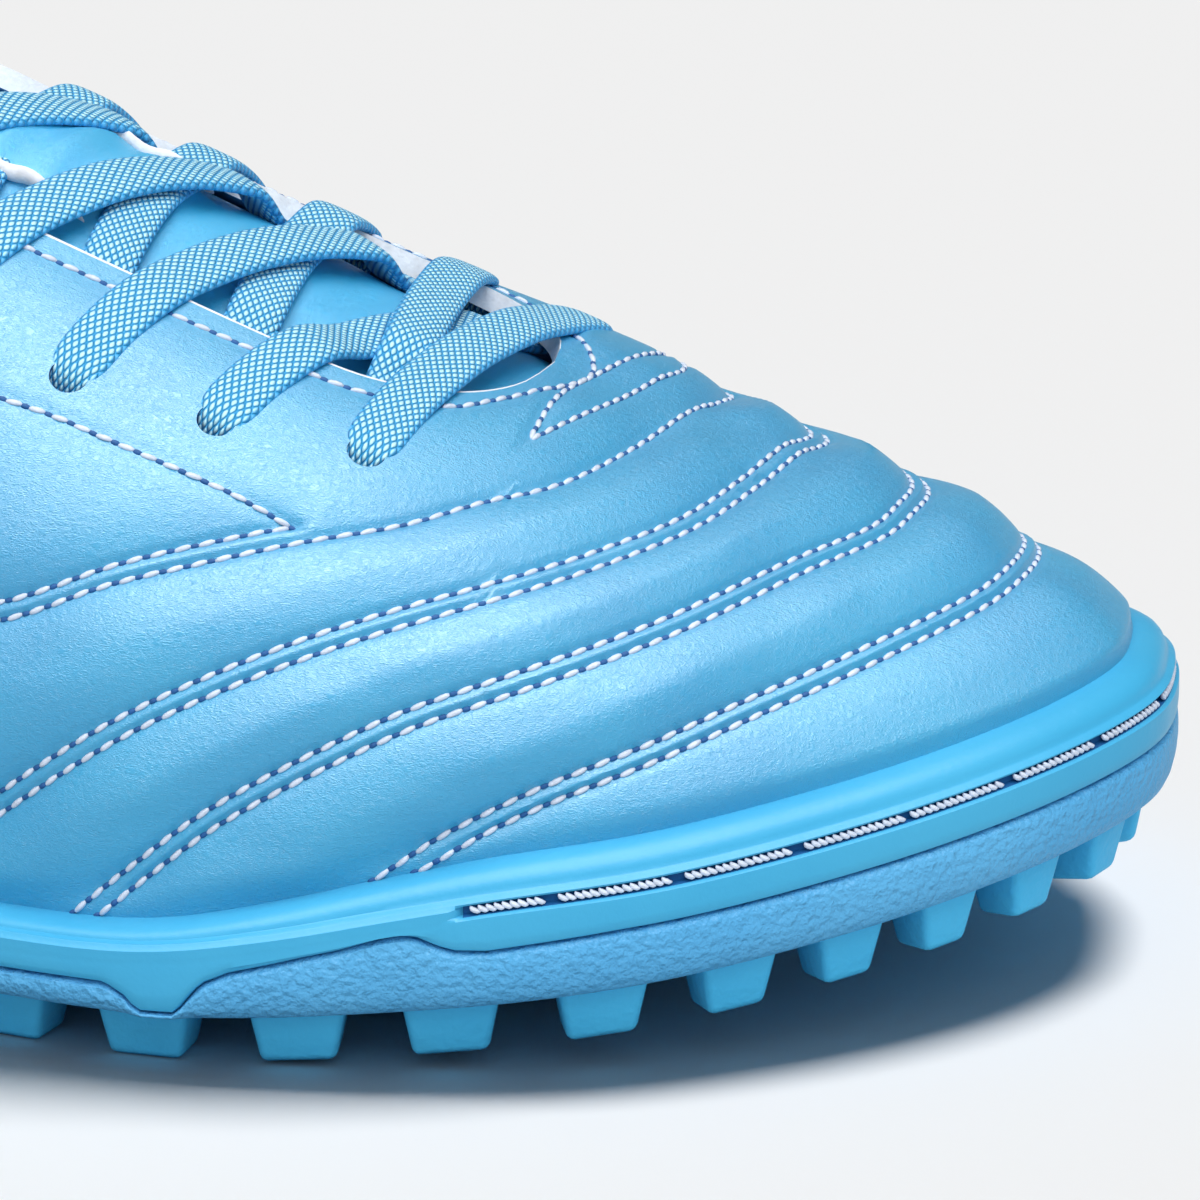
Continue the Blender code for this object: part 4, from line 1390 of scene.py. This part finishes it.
@dataclass
class Sole:
    """Cup sole: smooth band with bevel and stitch channel, textured band, lugs.

    The columns lie closer together towards the toe: how much, from where and up to where. The channel's
    thread is made of grains, each with a length and a radius.
    """

    foot: Footprint
    columns: int = 720
    closer: tuple = (1.5, 0.44, 0.54)
    bottom_inset: float = 2.2 * MM
    rim: float = 6.4 * MM
    plate: float = 2.6 * MM
    groove: float = 0.9 * MM
    channel_share: float = 0.74
    channel_width: float = 1.25 * MM
    channel_depth: float = 1.25 * MM
    channel_start: float = 0.783
    cord_pitch: float = 12.6 * MM
    cord_first: float = 7.8 * MM
    cord_gap: float = 1.5 * MM
    cord_step: float = 0.8 * MM
    lug_length: float = 10.2 * MM
    lug_depth: float = 8.0 * MM
    lug_taper: float = 2.6 * MM
    lug_pitch: float = 15.2 * MM
    lug_row: float = 13.2 * MM
    lug_edge: float = 0.6 * MM
    lug_bevel: float = 0.8 * MM
    cord_turn: float = -34.0
    cord_grain: tuple = (1.25 * MM, 0.33 * MM)

    # Textured band from its foot to its lip: share of its height, share of the inset at the bottom
    swell: tuple = (
        (0.00, 1.00), (0.04, 0.62), (0.12, 0.36), (0.25, 0.17), (0.42, 0.05), (0.60, 0.0), (0.76, 0.0),
        (0.88, 0.03),
    )

    # Smooth band's rounded top from the channel up: share of the way down from the top, inset in mm
    bead: tuple = (
        (1.00, 0.55), (0.93, 1.05), (0.86, 1.25), (0.70, 1.35), (0.50, 1.62), (0.32, 2.05), (0.16, 2.75),
        (0.06, 3.5), (0.01, 4.3), (0.0, 4.75),
    )

    def angles(self) -> np.ndarray:
        """Angles of the columns, a first and last one at the heel."""
        return round_angles(self.columns, *self.closer)

    def ring(self, angles: np.ndarray, inset: Numbers, height: Numbers) -> np.ndarray:
        """Points round the sole.

        Args:
            angles: angles round the sole.
            inset: how far in from the outline each point lies.
            height: its height.

        Returns:
            The points.
        """
        inset = np.zeros(len(angles)) + inset
        flat = self.foot.plan(angles) - self.foot.outward(angles) * inset[:, None]
        return np.column_stack([flat, height])

    def closed(self, name: str, section: list, materials: list, slot: str, sharp: float,
               finishes: np.ndarray | None = None) -> bpy.types.Object:
        """Closed band round the sole, its first and last column joined at the heel.

        Args:
            name: name of the piece.
            section: inset and height of each ring, in order along the section.
            materials: its materials.
            slot: not used.
            sharp: angle in degrees above which an edge stays sharp.
            finishes: material number of every face, by row and column.

        Returns:
            The object.
        """
        rings = np.stack([self.ring(self.angles(), inset, height) for inset, height in section])
        bm = sheet_mesh(name, rings, WELD, finishes)
        close_ends(bm)
        return show(bm, name, materials, self.foot.centre, sharp)

    def textured_band(self, material: bpy.types.Material) -> bpy.types.Object:
        """Outsole's band from the floor side up to the parting line.

        Args:
            material: its material.

        Returns:
            The band.
        """
        x = self.foot.plan(self.angles())[:, 0]
        low, high = self.foot.bottom(x), self.foot.parting(x)
        lip = np.minimum(0.35 * MM, (high - low) * 0.1)
        section = [(self.rim + self.groove, low)]
        section += [(self.bottom_inset * inset, low + share * (high - low)) for share, inset in self.swell]
        section += [(0.22 * MM, high - lip), (self.groove, high - lip * 0.1),
                    (self.groove + self.rim, high - lip * 0.1)]
        return self.closed("outsole_band", section, [material], "outsole_rubber", 50)

    def smooth_band(self, material: bpy.types.Material, slot: bpy.types.Material) -> bpy.types.Object:
        """Midsole's band with its bead, bevel and stitch channel.

        Args:
            material: material of the band.
            slot: dark rubber painted inside the channel as its shade.

        Returns:
            The band.
        """
        foot = self.foot
        angles = self.angles()
        x = foot.plan(angles)[:, 0]
        station = x / foot.length
        low, top = foot.parting(x), foot.bottom(x) + foot.side_height(x)
        face = foot.bottom(x) + self.channel_share * foot.side_height(x)
        depth = self.channel_depth * ramp(station, self.channel_start, self.channel_start + 0.004)
        w = self.channel_width / 2
        section = [
            (self.rim, low + 0.05 * MM), (self.groove, low + 0.05 * MM), (0.25 * MM, low + 0.35 * MM),
            (0.05 * MM, low + 0.75 * MM), (0.0, low * 0.6 + (face - w) * 0.4), (0.0, face - w - 0.5 * MM),
            (0.02 * MM, face - w - 0.15 * MM), (depth * 0.35, face - w + 0.08 * MM),
            (depth, face - w + 0.22 * MM), (depth, face + w - 0.22 * MM),
            (0.25 * MM + depth * 0.3, face + w - 0.05 * MM), (0.42 * MM, face + w + 0.2 * MM),
        ]
        tall = top - (face + w + 0.35 * MM)
        section += [(inset * MM, top - share * tall) for share, inset in self.bead]
        inner_edge = foot.feather_inset + 1.6 * MM
        section += [(inner_edge, top - 0.02 * MM), (inner_edge, foot.cup_floor(x) - 0.2 * MM)]
        finishes = np.zeros((len(section) - 1, len(angles) - 1), int)
        # The channel's walls and floor take the dark slot rubber: painted shade of the recess.
        finishes[7:10] = depth[:-1] > 0.5 * self.channel_depth
        return self.closed("smooth_band", section, [material, slot], "midsole_rubber", 35, finishes)

    def toe_share(self, station: Numbers) -> Numbers:
        """How much shorter lugs and their pitch are round the toe."""
        return 1 - 0.28 * ramp(station, 0.78, 0.96)

    def lug_angles(self, inset: float, offset: float) -> np.ndarray:
        """Angles of evenly pitched lugs round a ring, closer at the toe.

        Args:
            inset: how far in from the outline the ring lies.
            offset: share of a pitch where the first lug lies.

        Returns:
            The angles.
        """
        angles = np.linspace(0, 2 * math.pi, 721)
        plan = self.foot.plan(angles)
        flat = plan - self.foot.outward(angles) * inset
        pitch = self.lug_pitch * self.toe_share(plan[:, 0] / self.foot.length)
        steps = np.linalg.norm(np.diff(flat, axis=0), axis=1) / pitch[1:]
        phase = np.concatenate([[0], np.cumsum(steps)])
        count = round(phase[-1])
        return np.interp((np.arange(count) + offset) * phase[-1] / count, phase, angles)

    def lug_places(self) -> list:
        """Places the lugs in rows round the sole and down its middle.

        Returns:
            Centre, direction, length and depth of every lug.
        """
        places = []
        foot = self.foot

        def add(centre: np.ndarray, along: np.ndarray, length: float, depth: float) -> None:
            """Adds a lug unless it would touch one already there."""
            if all(np.linalg.norm(other - centre) >= length * 1.25 for other, *_ in places):
                places.append((centre, along, length, depth))

        edge = self.bottom_inset + self.lug_edge + self.lug_depth / 2
        for level, offset in enumerate((0.50, 0.00, 0.50)):
            inset = edge + level * self.lug_row
            for angle in self.lug_angles(inset, offset):
                plan, normal = foot.plan(angle), foot.outward(angle)
                station = plan[0] / foot.length
                if level == 2 and not 0.60 < station < 0.93:
                    continue
                along = np.array([-normal[1], normal[0]])
                add(plan - normal * inset, along, self.lug_length * self.toe_share(station), self.lug_depth)
        first, last = foot.length * 0.125, foot.length * 0.80
        count = int((last - first) / self.lug_pitch)
        for x in np.linspace(first, last, count + 1):
            sides = [foot.plan(foot.angle_at(side, x / foot.length))[1] for side in Side]
            add(np.array([x, sum(sides) / 2]), np.array([0.0, 1.0]), self.lug_depth, self.lug_depth)
        return places

    def lugs(self, material: bpy.types.Material) -> bpy.types.Object:
        """Tapered lugs with rounded edges; their tips follow the sole's rise.

        Args:
            material: their material.

        Returns:
            The lugs.
        """
        bm = bmesh.new()
        foot = self.foot
        for centre, along, length, depth in self.lug_places():
            across = np.array([-along[1], along[0]])
            made = bmesh.ops.create_cube(bm, size=1.0)["verts"]
            for v in made:
                taper = self.lug_taper if v.co.z < 0 else 0.0
                p = centre + np.sign(v.co.x) * along * (length - taper) / 2
                p += np.sign(v.co.y) * across * (depth - taper) / 2
                z = foot.rise(p[0]) if v.co.z < 0 else foot.bottom(p[0]) + self.plate / 2
                v.co = (p[0], p[1], z)
        bm.normal_update()
        bmesh.ops.bevel(bm, geom=bm.edges[:], offset=self.lug_bevel, segments=3, profile=0.5, affect="EDGES",
                        material=-1, clamp_overlap=True)
        return show(bm, "lugs", [material], foot.centre, 60)

    def channel_thread(self, stitching: Stitching, thread: bpy.types.Material) -> bpy.types.Object:
        """Twisted thread that shows in pieces in the stitch channel.

        Args:
            stitching: shapes and copies the grains.
            thread: their material.

        Returns:
            The thread.
        """
        foot = self.foot
        ends = [float(foot.angle_at(side, self.channel_start + 0.008)) for side in Side]
        angles = np.linspace(*ends, 2000)
        x = foot.plan(angles)[:, 0]
        face = foot.bottom(x) + self.channel_share * foot.side_height(x)
        line = self.ring(angles, self.channel_depth * 0.5, face)
        run = run_of(line)
        along = unit(np.gradient(line, axis=0))
        turn = Matrix.Rotation(math.radians(self.cord_turn), 4, "Y")
        frames = []
        for s in np.arange(0, run[-1], self.cord_step):
            place = (s - self.cord_first) % self.cord_pitch
            if min(place, self.cord_pitch - place) < self.cord_gap / 2:
                continue
            k = int(np.searchsorted(run, s))
            up = unit(np.cross(along[k], [*foot.outward(angles[k]), 0.0]))
            frames.append(frame_of(along[k], up, line[k], turn))
        grain = stitching.grain(*self.cord_grain, 8)
        return stitching.spread("channel_thread", grain, frames, thread, foot, "midsole_rubber")

    def build(self, smooth: bpy.types.Material, textured: bpy.types.Material, tread: bpy.types.Material,
              slot: bpy.types.Material, thread: bpy.types.Material, stitching: Stitching) -> None:
        """Makes the sole's pieces.

        Args:
            smooth: material of the upper band.
            textured: material of the lower band.
            tread: material of the lugs.
            slot: dark rubber painted inside the stitch channel as its shade.
            thread: material of the channel's thread.
            stitching: shapes and copies the thread's grains.
        """
        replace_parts(self.textured_band(textured), "outsole")
        self.lugs(tread)
        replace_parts(self.smooth_band(smooth, slot), "midsole")
        self.channel_thread(stitching, thread)


# Tongue and laces


def skin_over(skin: BVHTree, x: float, y: float, centre: np.ndarray) -> tuple:
    """Highest point of a skin over a plan point, and the direction square to it there."""
    return skin.ray_cast(Vector((x - centre[0], y - centre[1], 1.0)), Vector((0, 0, -1)))[:2]


@dataclass
class Tongue:
    """Padded leather leaf under the lacing, rounded at its free end, with a keeper for the lace.

    The keeper's place and half sizes are given along and across the shoe, its slits' cut edge as width and
    height.
    """

    last: Last
    half_width: float = 26 * MM
    thickness: float = 3.6 * MM
    gap: float = 0.6 * MM
    wall: float = 2.0 * MM
    keeper: tuple = (176 * MM, 1 * MM)
    keeper_size: tuple = (8 * MM, 11 * MM)
    keeper_height: float = 2.7 * MM
    keeper_skew: float = 0.36
    slit_size: tuple = (0.93 * MM, 1.86 * MM)

    # Station, half width there as a share
    shape: tuple = (
        (0.330, 0.42), (0.336, 0.62), (0.350, 0.74), (0.380, 0.78), (0.410, 0.70), (0.450, 0.72),
        (0.500, 0.85), (0.560, 0.96), (0.620, 0.96), (0.680, 0.92), (0.730, 0.83), (0.765, 0.68),
        (0.785, 0.52),
    )

    def height(self, skin: BVHTree, x: float, y: float) -> float:
        """Height of the tongue's top, a little under the upper.

        Args:
            skin: the closed last.
            x: metres from the heel.
            y: metres from the middle of the outline's widths.

        Returns:
            The height.
        """
        last, centre = self.last, self.last.foot.centre
        station = x / last.foot.length
        middle, ridge = last.ridge(station)
        radius = last.throat_curve - self.wall
        off = min(abs(y - float(middle)), radius * 0.98)
        arch = float(ridge) - self.wall - (radius - math.sqrt(radius ** 2 - off ** 2))
        if station <= 0.45:
            return arch - self.gap
        hit, normal = skin_over(skin, x, y, centre)
        if hit is None:
            return arch - self.gap
        return min(arch, hit.z - self.wall / max(abs(normal.z), 0.4)) - self.gap

    def swell(self, x: float, y: float) -> float:
        """Puff of the keeper's bridge over the leaf.

        Args:
            x: metres from the heel.
            y: metres from the middle of the outline's widths.

        Returns:
            Its height there, 0 away from the keeper.
        """
        across = (y - self.keeper[1]) / self.keeper_size[1]
        along = (x - self.keeper[0] - self.keeper_skew * (y - self.keeper[1])) / self.keeper_size[0]
        cut = float(ramp(abs(across), 1.0, 0.8)) * float(ramp(abs(along), 1.25, 0.55))
        wrinkle = 0.16 * math.cos(along * 9 + 2.5 * across) * (1 - along * along * 0.5)
        return self.keeper_height * cut * (1 + wrinkle) * (1 - 0.35 * across * across)

    def build(self, leather: bpy.types.Material, cut_edge: bpy.types.Material,
              skin: BVHTree) -> bpy.types.Object:
        """Makes the tongue and the cut edges of the keeper's two slits.

        Args:
            leather: material of the leaf.
            cut_edge: material of the slits' raw edges.
            skin: the closed last.

        Returns:
            The leaf.
        """
        length = self.last.foot.length
        stations = np.linspace(self.shape[0][0], self.shape[-1][0], 170)
        halves = np.interp(stations, *zip(*self.shape)) * self.half_width
        offsets = np.linspace(-1, 1, 81)
        top = np.empty((len(stations), len(offsets), 3))
        bottom = np.empty_like(top)
        for i, (station, half) in enumerate(zip(stations, halves)):
            middle = float(self.last.ridge(station)[0])
            end = min(1.0, (station - stations[0]) / 0.012, (stations[-1] - station) / 0.012)
            for j, offset in enumerate(offsets):
                x, y = station * length, middle + offset * half
                z = self.height(skin, x, y)
                edge = (1 - 0.55 * abs(offset) ** 3) * (0.35 + 0.65 * math.sqrt(max(end, 0.0)))
                fold = 0.2 * MM * min(math.sin(station * 95), 0.0) * (1 - offset * offset)
                top[i, j] = (x, y, z - self.thickness * 0.5 * (1 - edge) + fold + self.swell(x, y))
                bottom[i, j] = (x, y, z - self.thickness * (0.5 + 0.5 * edge))
        bm = sheet_mesh("tongue", np.concatenate([bottom[:, ::-1], top, bottom[:, -1:]], 1))
        close_ends(bm)
        obj = show(bm, "tongue_leaf", [leather], self.last.foot.centre, 60)
        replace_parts(obj, "tongue")
        for side in Side:
            self.slit(side, cut_edge, skin)
        return obj

    def slit(self, side: Side, cut_edge: bpy.types.Material, skin: BVHTree) -> None:
        """White raw edge that arches over one end of the keeper's bridge.

        Args:
            side: outer or inner end.
            cut_edge: its material.
            skin: the closed last.
        """
        turns = np.linspace(-1, 1, 25)
        line = []
        for turn in turns:
            off = side.value * (self.keeper_size[1] * 0.93 + 0.8 * MM * turn * turn)
            y = self.keeper[1] + off
            x = self.keeper[0] + turn * self.keeper_size[0] * 0.95 + self.keeper_skew * off
            near = side.value * self.keeper_size[1] * 0.78
            lift = self.swell(x + self.keeper_skew * (near - off), self.keeper[1] + near)
            line.append((x, y, self.height(skin, x, y) + 0.9 * lift))
        sides = np.linspace(0, 2 * math.pi, 9)
        slim = np.sqrt(np.clip(1.02 - turns ** 4, 0, 1))
        ring = np.zeros((len(sides), len(line), 3))
        ring[..., 1] = np.cos(sides)[:, None] * self.slit_size[0] / 2 * slim
        ring[..., 2] = np.sin(sides)[:, None] * self.slit_size[1] / 2 * slim
        name = f"keeper_edge_{side.name.lower()}"
        bm = sheet_mesh(name, np.array(line)[None] + ring)
        close_ends(bm)
        show(bm, name, [cut_edge], self.last.foot.centre, 60)


@dataclass
class Laces:
    """Flat braided lace through the eyelets: one bar in front, crossings behind it.

    Heights are over the closed last. The edges give how far in from each eyelet the facing ends.
    """

    last: Last
    width: float = 5.9 * MM
    thickness: float = 1.5 * MM
    step: float = 0.5 * MM
    resting: float = 0.9 * MM
    low: float = -1.6 * MM
    high: float = 0.15 * MM
    tucked: float = -2.7 * MM
    dive: float = 4.6 * MM
    pinch: float = 0.30
    bar_height: float = 1.3 * MM
    hidden: float = 3.5 * MM
    hidden_back: float = 4.0 * MM
    edge_outer: tuple = (16.6 * MM, 15.2 * MM, 12.4 * MM, 12.0 * MM, 12.0 * MM)
    edge_inner: tuple = (12.0 * MM, 11.5 * MM, 12.0 * MM, 13.0 * MM, 13.0 * MM)

    def ribbon(self, name: str, path: np.ndarray, normals: np.ndarray, widths: np.ndarray,
               material: bpy.types.Material) -> bpy.types.Object:
        """Sweeps a rounded flat section along a path.

        Args:
            name: name of the piece.
            path: points from end to end.
            normals: the flat side's direction at each point.
            widths: share of the full width at each point.
            material: its material.

        Returns:
            The object.
        """
        along = unit(np.gradient(path, axis=0))
        across = unit(np.cross(normals, along))
        out = np.cross(along, across)
        turns = np.linspace(0, 2 * math.pi, 29)
        cos, sin = np.cos(turns), np.sin(turns)
        flat = np.sign(cos) * np.abs(cos) ** 0.6
        thick = np.sign(sin) * np.abs(sin) ** 0.8 * self.thickness / 2
        grid = path[None] + across[None] * (flat[:, None, None] * widths[None, :, None] * self.width / 2)
        grid = grid + out[None] * thick[:, None, None]
        bm = sheet_mesh(name, grid, uvs=(run_of(path) / MM, flat * self.width / 2 / MM))
        close_ends(bm)
        return show(bm, name, [material], np.zeros(3), 60)

    def dip(self, run: float, edge: float) -> tuple:
        """How a strand's end goes down its eyelet.

        Args:
            run: distance from the strand's end.
            edge: distance from that end to the facing's edge.

        Returns:
            Share of its rest on the leather, of its dive, and of the width that it loses.
        """
        rest = float(ramp(run, edge + 11 * MM, edge))
        return rest, float(ramp(run, 2.0 * MM, -0.6 * MM)), self.pinch * float(ramp(run, 3.6 * MM, 0.0))

    def strand(self, skin: BVHTree, start: np.ndarray, end: np.ndarray, edges: tuple, middle: float,
               dives: bool) -> tuple:
        """Path of one strand over the last, from one plan point to the eyelet where it ends.

        Args:
            skin: the closed last.
            start: plan point where it starts.
            end: plan point of the eyelet where it ends.
            edges: how far from start and from end the facings' edges lie.
            middle: height over the last between the facings.
            dives: whether it also goes down an eyelet at its start.

        Returns:
            Points, normals and shares of the width.
        """
        along = unit(end - start) * 1.2 * MM
        start, end = (start - along if dives else start), end + along
        reach = np.linalg.norm(end - start)
        rows = []
        for u in np.linspace(0, 1, int(reach / (0.8 * MM)) + 1):
            at, normal = skin_over(skin, *(start + (end - start) * u), self.last.foot.centre)
            normal = np.array(normal if normal.z > 0 else -normal)
            run = u * reach
            rest, hole, loss = self.dip(reach - run, edges[1])
            height = middle + (self.resting - middle) * rest
            if dives:
                rest, start_hole, start_loss = self.dip(run, edges[0])
                height += (self.resting - middle) * rest
                hole, loss = hole + start_hole, loss + start_loss
            else:
                height += (self.tucked - middle) * float(ramp(run, edges[0] + 6 * MM, edges[0] - 1 * MM))
            rows.append([*(np.array(at) + normal * (height - self.dive * hole)), *normal, 1 - loss])
        fine = smooth(through(np.array(rows), self.step), 2.0)
        return fine[:, :3], unit(fine[:, 3:6]), fine[:, 6]

    def plan_point(self, side: Side, number: int, back: float = 0.0, inward: float = 0.0) -> np.ndarray:
        """Plan point of an eyelet, moved back from the toe and towards the throat."""
        point, _ = self.last.eyelet(side, number)
        return np.array([point[0] - back, point[1] - side.value * inward])

    def build(self, skin: BVHTree, material: bpy.types.Material) -> None:
        """Makes the bar and the crossings.

        Args:
            skin: the closed last.
            material: the braid.
        """
        edges = {Side.OUTER: self.edge_outer, Side.INNER: self.edge_inner}
        path = self.strand(skin, self.plan_point(Side.OUTER, 0), self.plan_point(Side.INNER, 0),
                           (self.edge_outer[0], self.edge_inner[0]), self.bar_height, True)
        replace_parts(self.ribbon("lace_front", *path, material), "lace_bar")
        for pair in range(1, len(OUTER_EYELETS)):
            for side, other in ((Side.OUTER, Side.INNER), (Side.INNER, Side.OUTER)):
                back = self.hidden_back if side is Side.OUTER else 0.0
                start = self.plan_point(other, pair - 1, back, edges[other][pair - 1] - self.hidden)
                on_top = (side is Side.INNER) == INNER_ON_TOP[pair - 1]
                path = self.strand(skin, start, self.plan_point(side, pair), (self.hidden, edges[side][pair]),
                                   self.high if on_top else self.low, False)
                strand = self.ribbon(f"lace_{side.name.lower()}_{pair}", *path, material)
                if side is Side.OUTER:
                    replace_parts(strand, f"lace_crossing_{pair}")


# Studio


def toward(azimuth: float, elevation: float) -> Vector:
    """Direction at degrees from +X towards +Y and degrees above the floor."""
    a, e = math.radians(azimuth), math.radians(elevation)
    return Vector((math.cos(a) * math.cos(e), math.sin(a) * math.cos(e), math.sin(e)))


@dataclass(frozen=True)
class Studio:
    """Camera of the photograph, plain pale floor and soft light.

    The camera aims at a point a little behind the toe and above the floor, which lies at the target pixel.
    """

    azimuth: float = 12.45
    elevation: float = 18.1
    distance: float = 1.0
    pixels: float = 1200
    scale: float = 9.66
    target_pixel: tuple = (587.5, 696.3)
    sensor: float = 36.0
    aim: tuple = (0.060, 0.025)
    key: float = 2.9
    soft: float = 2.7
    gloss: float = 7.5
    fill: float = 2.0
    surround: float = 0.10
    floor_tone: float = 0.93

    def camera(self, foot: Footprint) -> None:
        """Places the camera as the photograph was taken, aimed at a point behind the toe.

        Args:
            foot: the footprint.
        """
        back = toward(self.azimuth - 90, self.elevation)
        right = toward(self.azimuth, 0)
        target = Vector((foot.length - self.aim[0], 0, self.aim[1])) - Vector(foot.centre)
        data = bpy.data.cameras.new("camera")
        data.sensor_width = self.sensor
        data.lens = self.scale * 1000 * self.distance / self.pixels * self.sensor
        data.shift_x = (self.pixels / 2 - self.target_pixel[0]) / self.pixels
        data.shift_y = (self.target_pixel[1] - self.pixels / 2) / self.pixels
        camera = bpy.data.objects.new("camera", data)
        turn = Matrix((right, back.cross(right), back)).transposed().to_4x4()
        turn.translation = target + back * self.distance
        camera.matrix_world = turn
        bpy.context.scene.collection.objects.link(camera)
        bpy.context.scene.camera = camera

    def floor(self) -> None:
        """Plain pale floor."""
        bm = bmesh.new()
        bmesh.ops.create_grid(bm, x_segments=1, y_segments=1, size=12.0)
        mesh = bpy.data.meshes.new("floor")
        bm.to_mesh(mesh)
        bm.free()
        n = Nodes("floor_paint")
        grain = n.bump(n.noise(900.0, 3.0, 0.6, n.stretched((0.5, 2.0, 1.0))), 0.05, 0.0003)
        mesh.materials.append(n.finish((self.floor_tone,) * 3 + (1,), 0.9, grain, Specular_IOR_Level=0.1))
        floor = bpy.data.objects.new("floor", mesh)
        bpy.context.scene.collection.objects.link(floor)

    def sun(self, name: str, azimuth: float, elevation: float, strength: float,
            softness: float) -> bpy.types.Object:
        """A soft distant light from a direction.

        Args:
            name: its name.
            azimuth: degrees from +X towards +Y of where it comes from.
            elevation: degrees above the floor.
            strength: its strength.
            softness: its width in degrees.

        Returns:
            The light.
        """
        data = bpy.data.lights.new(name, "SUN")
        data.energy = strength
        data.angle = math.radians(softness)
        light = bpy.data.objects.new(name, data)
        light.rotation_euler = toward(azimuth, elevation).to_track_quat("Z", "Y").to_euler()
        bpy.context.scene.collection.objects.link(light)
        return light

    def light(self) -> None:
        """A key for the floor, soft light, gloss and fill for the shoe, and an even surround."""
        world = bpy.data.worlds.new("studio")
        world.use_nodes = True
        background = world.node_tree.nodes["Background"]
        background.inputs["Color"].default_value = (1, 1, 1, 1)
        background.inputs["Strength"].default_value = self.surround
        bpy.context.scene.world = world
        shoe, ground = bpy.data.collections.new("shoe"), bpy.data.collections.new("ground")
        for obj in bpy.data.objects:
            if obj.type == "MESH":
                (ground if obj.name == "floor" else shoe).objects.link(obj)
        for light, receivers, diffuse, glossy in (
            (self.sun("key", 55, 66, self.key, 20), ground, True, True),
            (self.sun("soft", -70, 68, self.soft, 60), shoe, True, False),
            (self.sun("gloss", -85, 76, self.gloss, 62), shoe, False, True),
            (self.sun("fill", -80, 25, self.fill, 150), shoe, True, False),
        ):
            light.light_linking.receiver_collection = receivers
            light.visible_diffuse, light.visible_glossy = diffuse, glossy
        view = bpy.context.scene.view_settings
        view.view_transform = "Standard"
        view.look = "None"

    def build(self, foot: Footprint) -> None:
        """Sets the studio up, after the shoe.

        Args:
            foot: the footprint.
        """
        self.camera(foot)
        self.floor()
        self.light()


def write_sizes() -> None:
    """Defines a helper that lists a box as plain numbers; writes no sizes."""
    def plain(box: tuple) -> list:
        """A box as plain lists of numbers."""
        return [[float(v) for v in corner] for corner in box]


def main() -> None:
    """Builds the shoe's pieces in order."""
    logging.basicConfig(level=logging.INFO, format="%(message)s")
    foot = Footprint()
    last = Last(foot)
    leather = Leather().make()
    # The tongue's leather is the upper's leather made lighter: painted light against the shade that the
    # facings and laces cast on it.
    leaf = Leather("tongue_leather", (0.014, 0.50, 0.88, 1), (0.008, 0.46, 0.84, 1)).make()
    smooth = Rubber("smooth_rubber", (0.06, 0.40, 0.66, 1), (0.05, 0.375, 0.64, 1), 0.42, 0.03).make()
    tread = Rubber("lug_rubber", (0.07, 0.50, 0.84, 1), (0.06, 0.46, 0.80, 1), 0.5, 0.10, 0.0).make()
    # Near-black blue rubber for the inside of the stitch channel: painted shade of the recess.
    slot = Rubber("slot_rubber", (0.01, 0.12, 0.34, 1), (0.01, 0.10, 0.30, 1), 0.6, 0.10, 0.0).make()
    textured = Rubber("textured_rubber", (0.10, 0.40, 0.70, 1), (0.08, 0.36, 0.66, 1), 0.55, 0.45).make()
    thread = Plain("thread", (0.62, 0.70, 0.84, 1), 0.6, 0.4, 5000.0).make()
    # Near-black blue for the needle holes and the eyelets' walls: painted shade of the holes.
    dark = Plain("needle_hole", (0.004, 0.09, 0.30, 1)).make()
    cut_edge = Plain("cut_edge", (0.80, 0.82, 0.86, 1)).make()
    lining = Plain("lining", (0.10, 0.26, 0.46, 1), 0.9, 0.5, 1500.0).make()
    braid = Braid().make()
    stitching = Stitching()
    Sole(foot).build(smooth, textured, tread, slot, thread, stitching)
    upper = Upper(last)
    shell = upper.build(leather, cut_edge, lining, dark)
    stitching.build(upper.sewn(shell), thread, dark, foot)
    skin = last.closed_skin()
    Tongue(last).build(leaf, cut_edge, skin)
    Laces(last).build(skin, braid)
    insole = bpy.data.objects["insole"]
    insole.data.materials.clear()
    insole.data.materials.append(lining)
    Studio().build(foot)
    write_sizes()


if __name__ == "__main__":
    main()
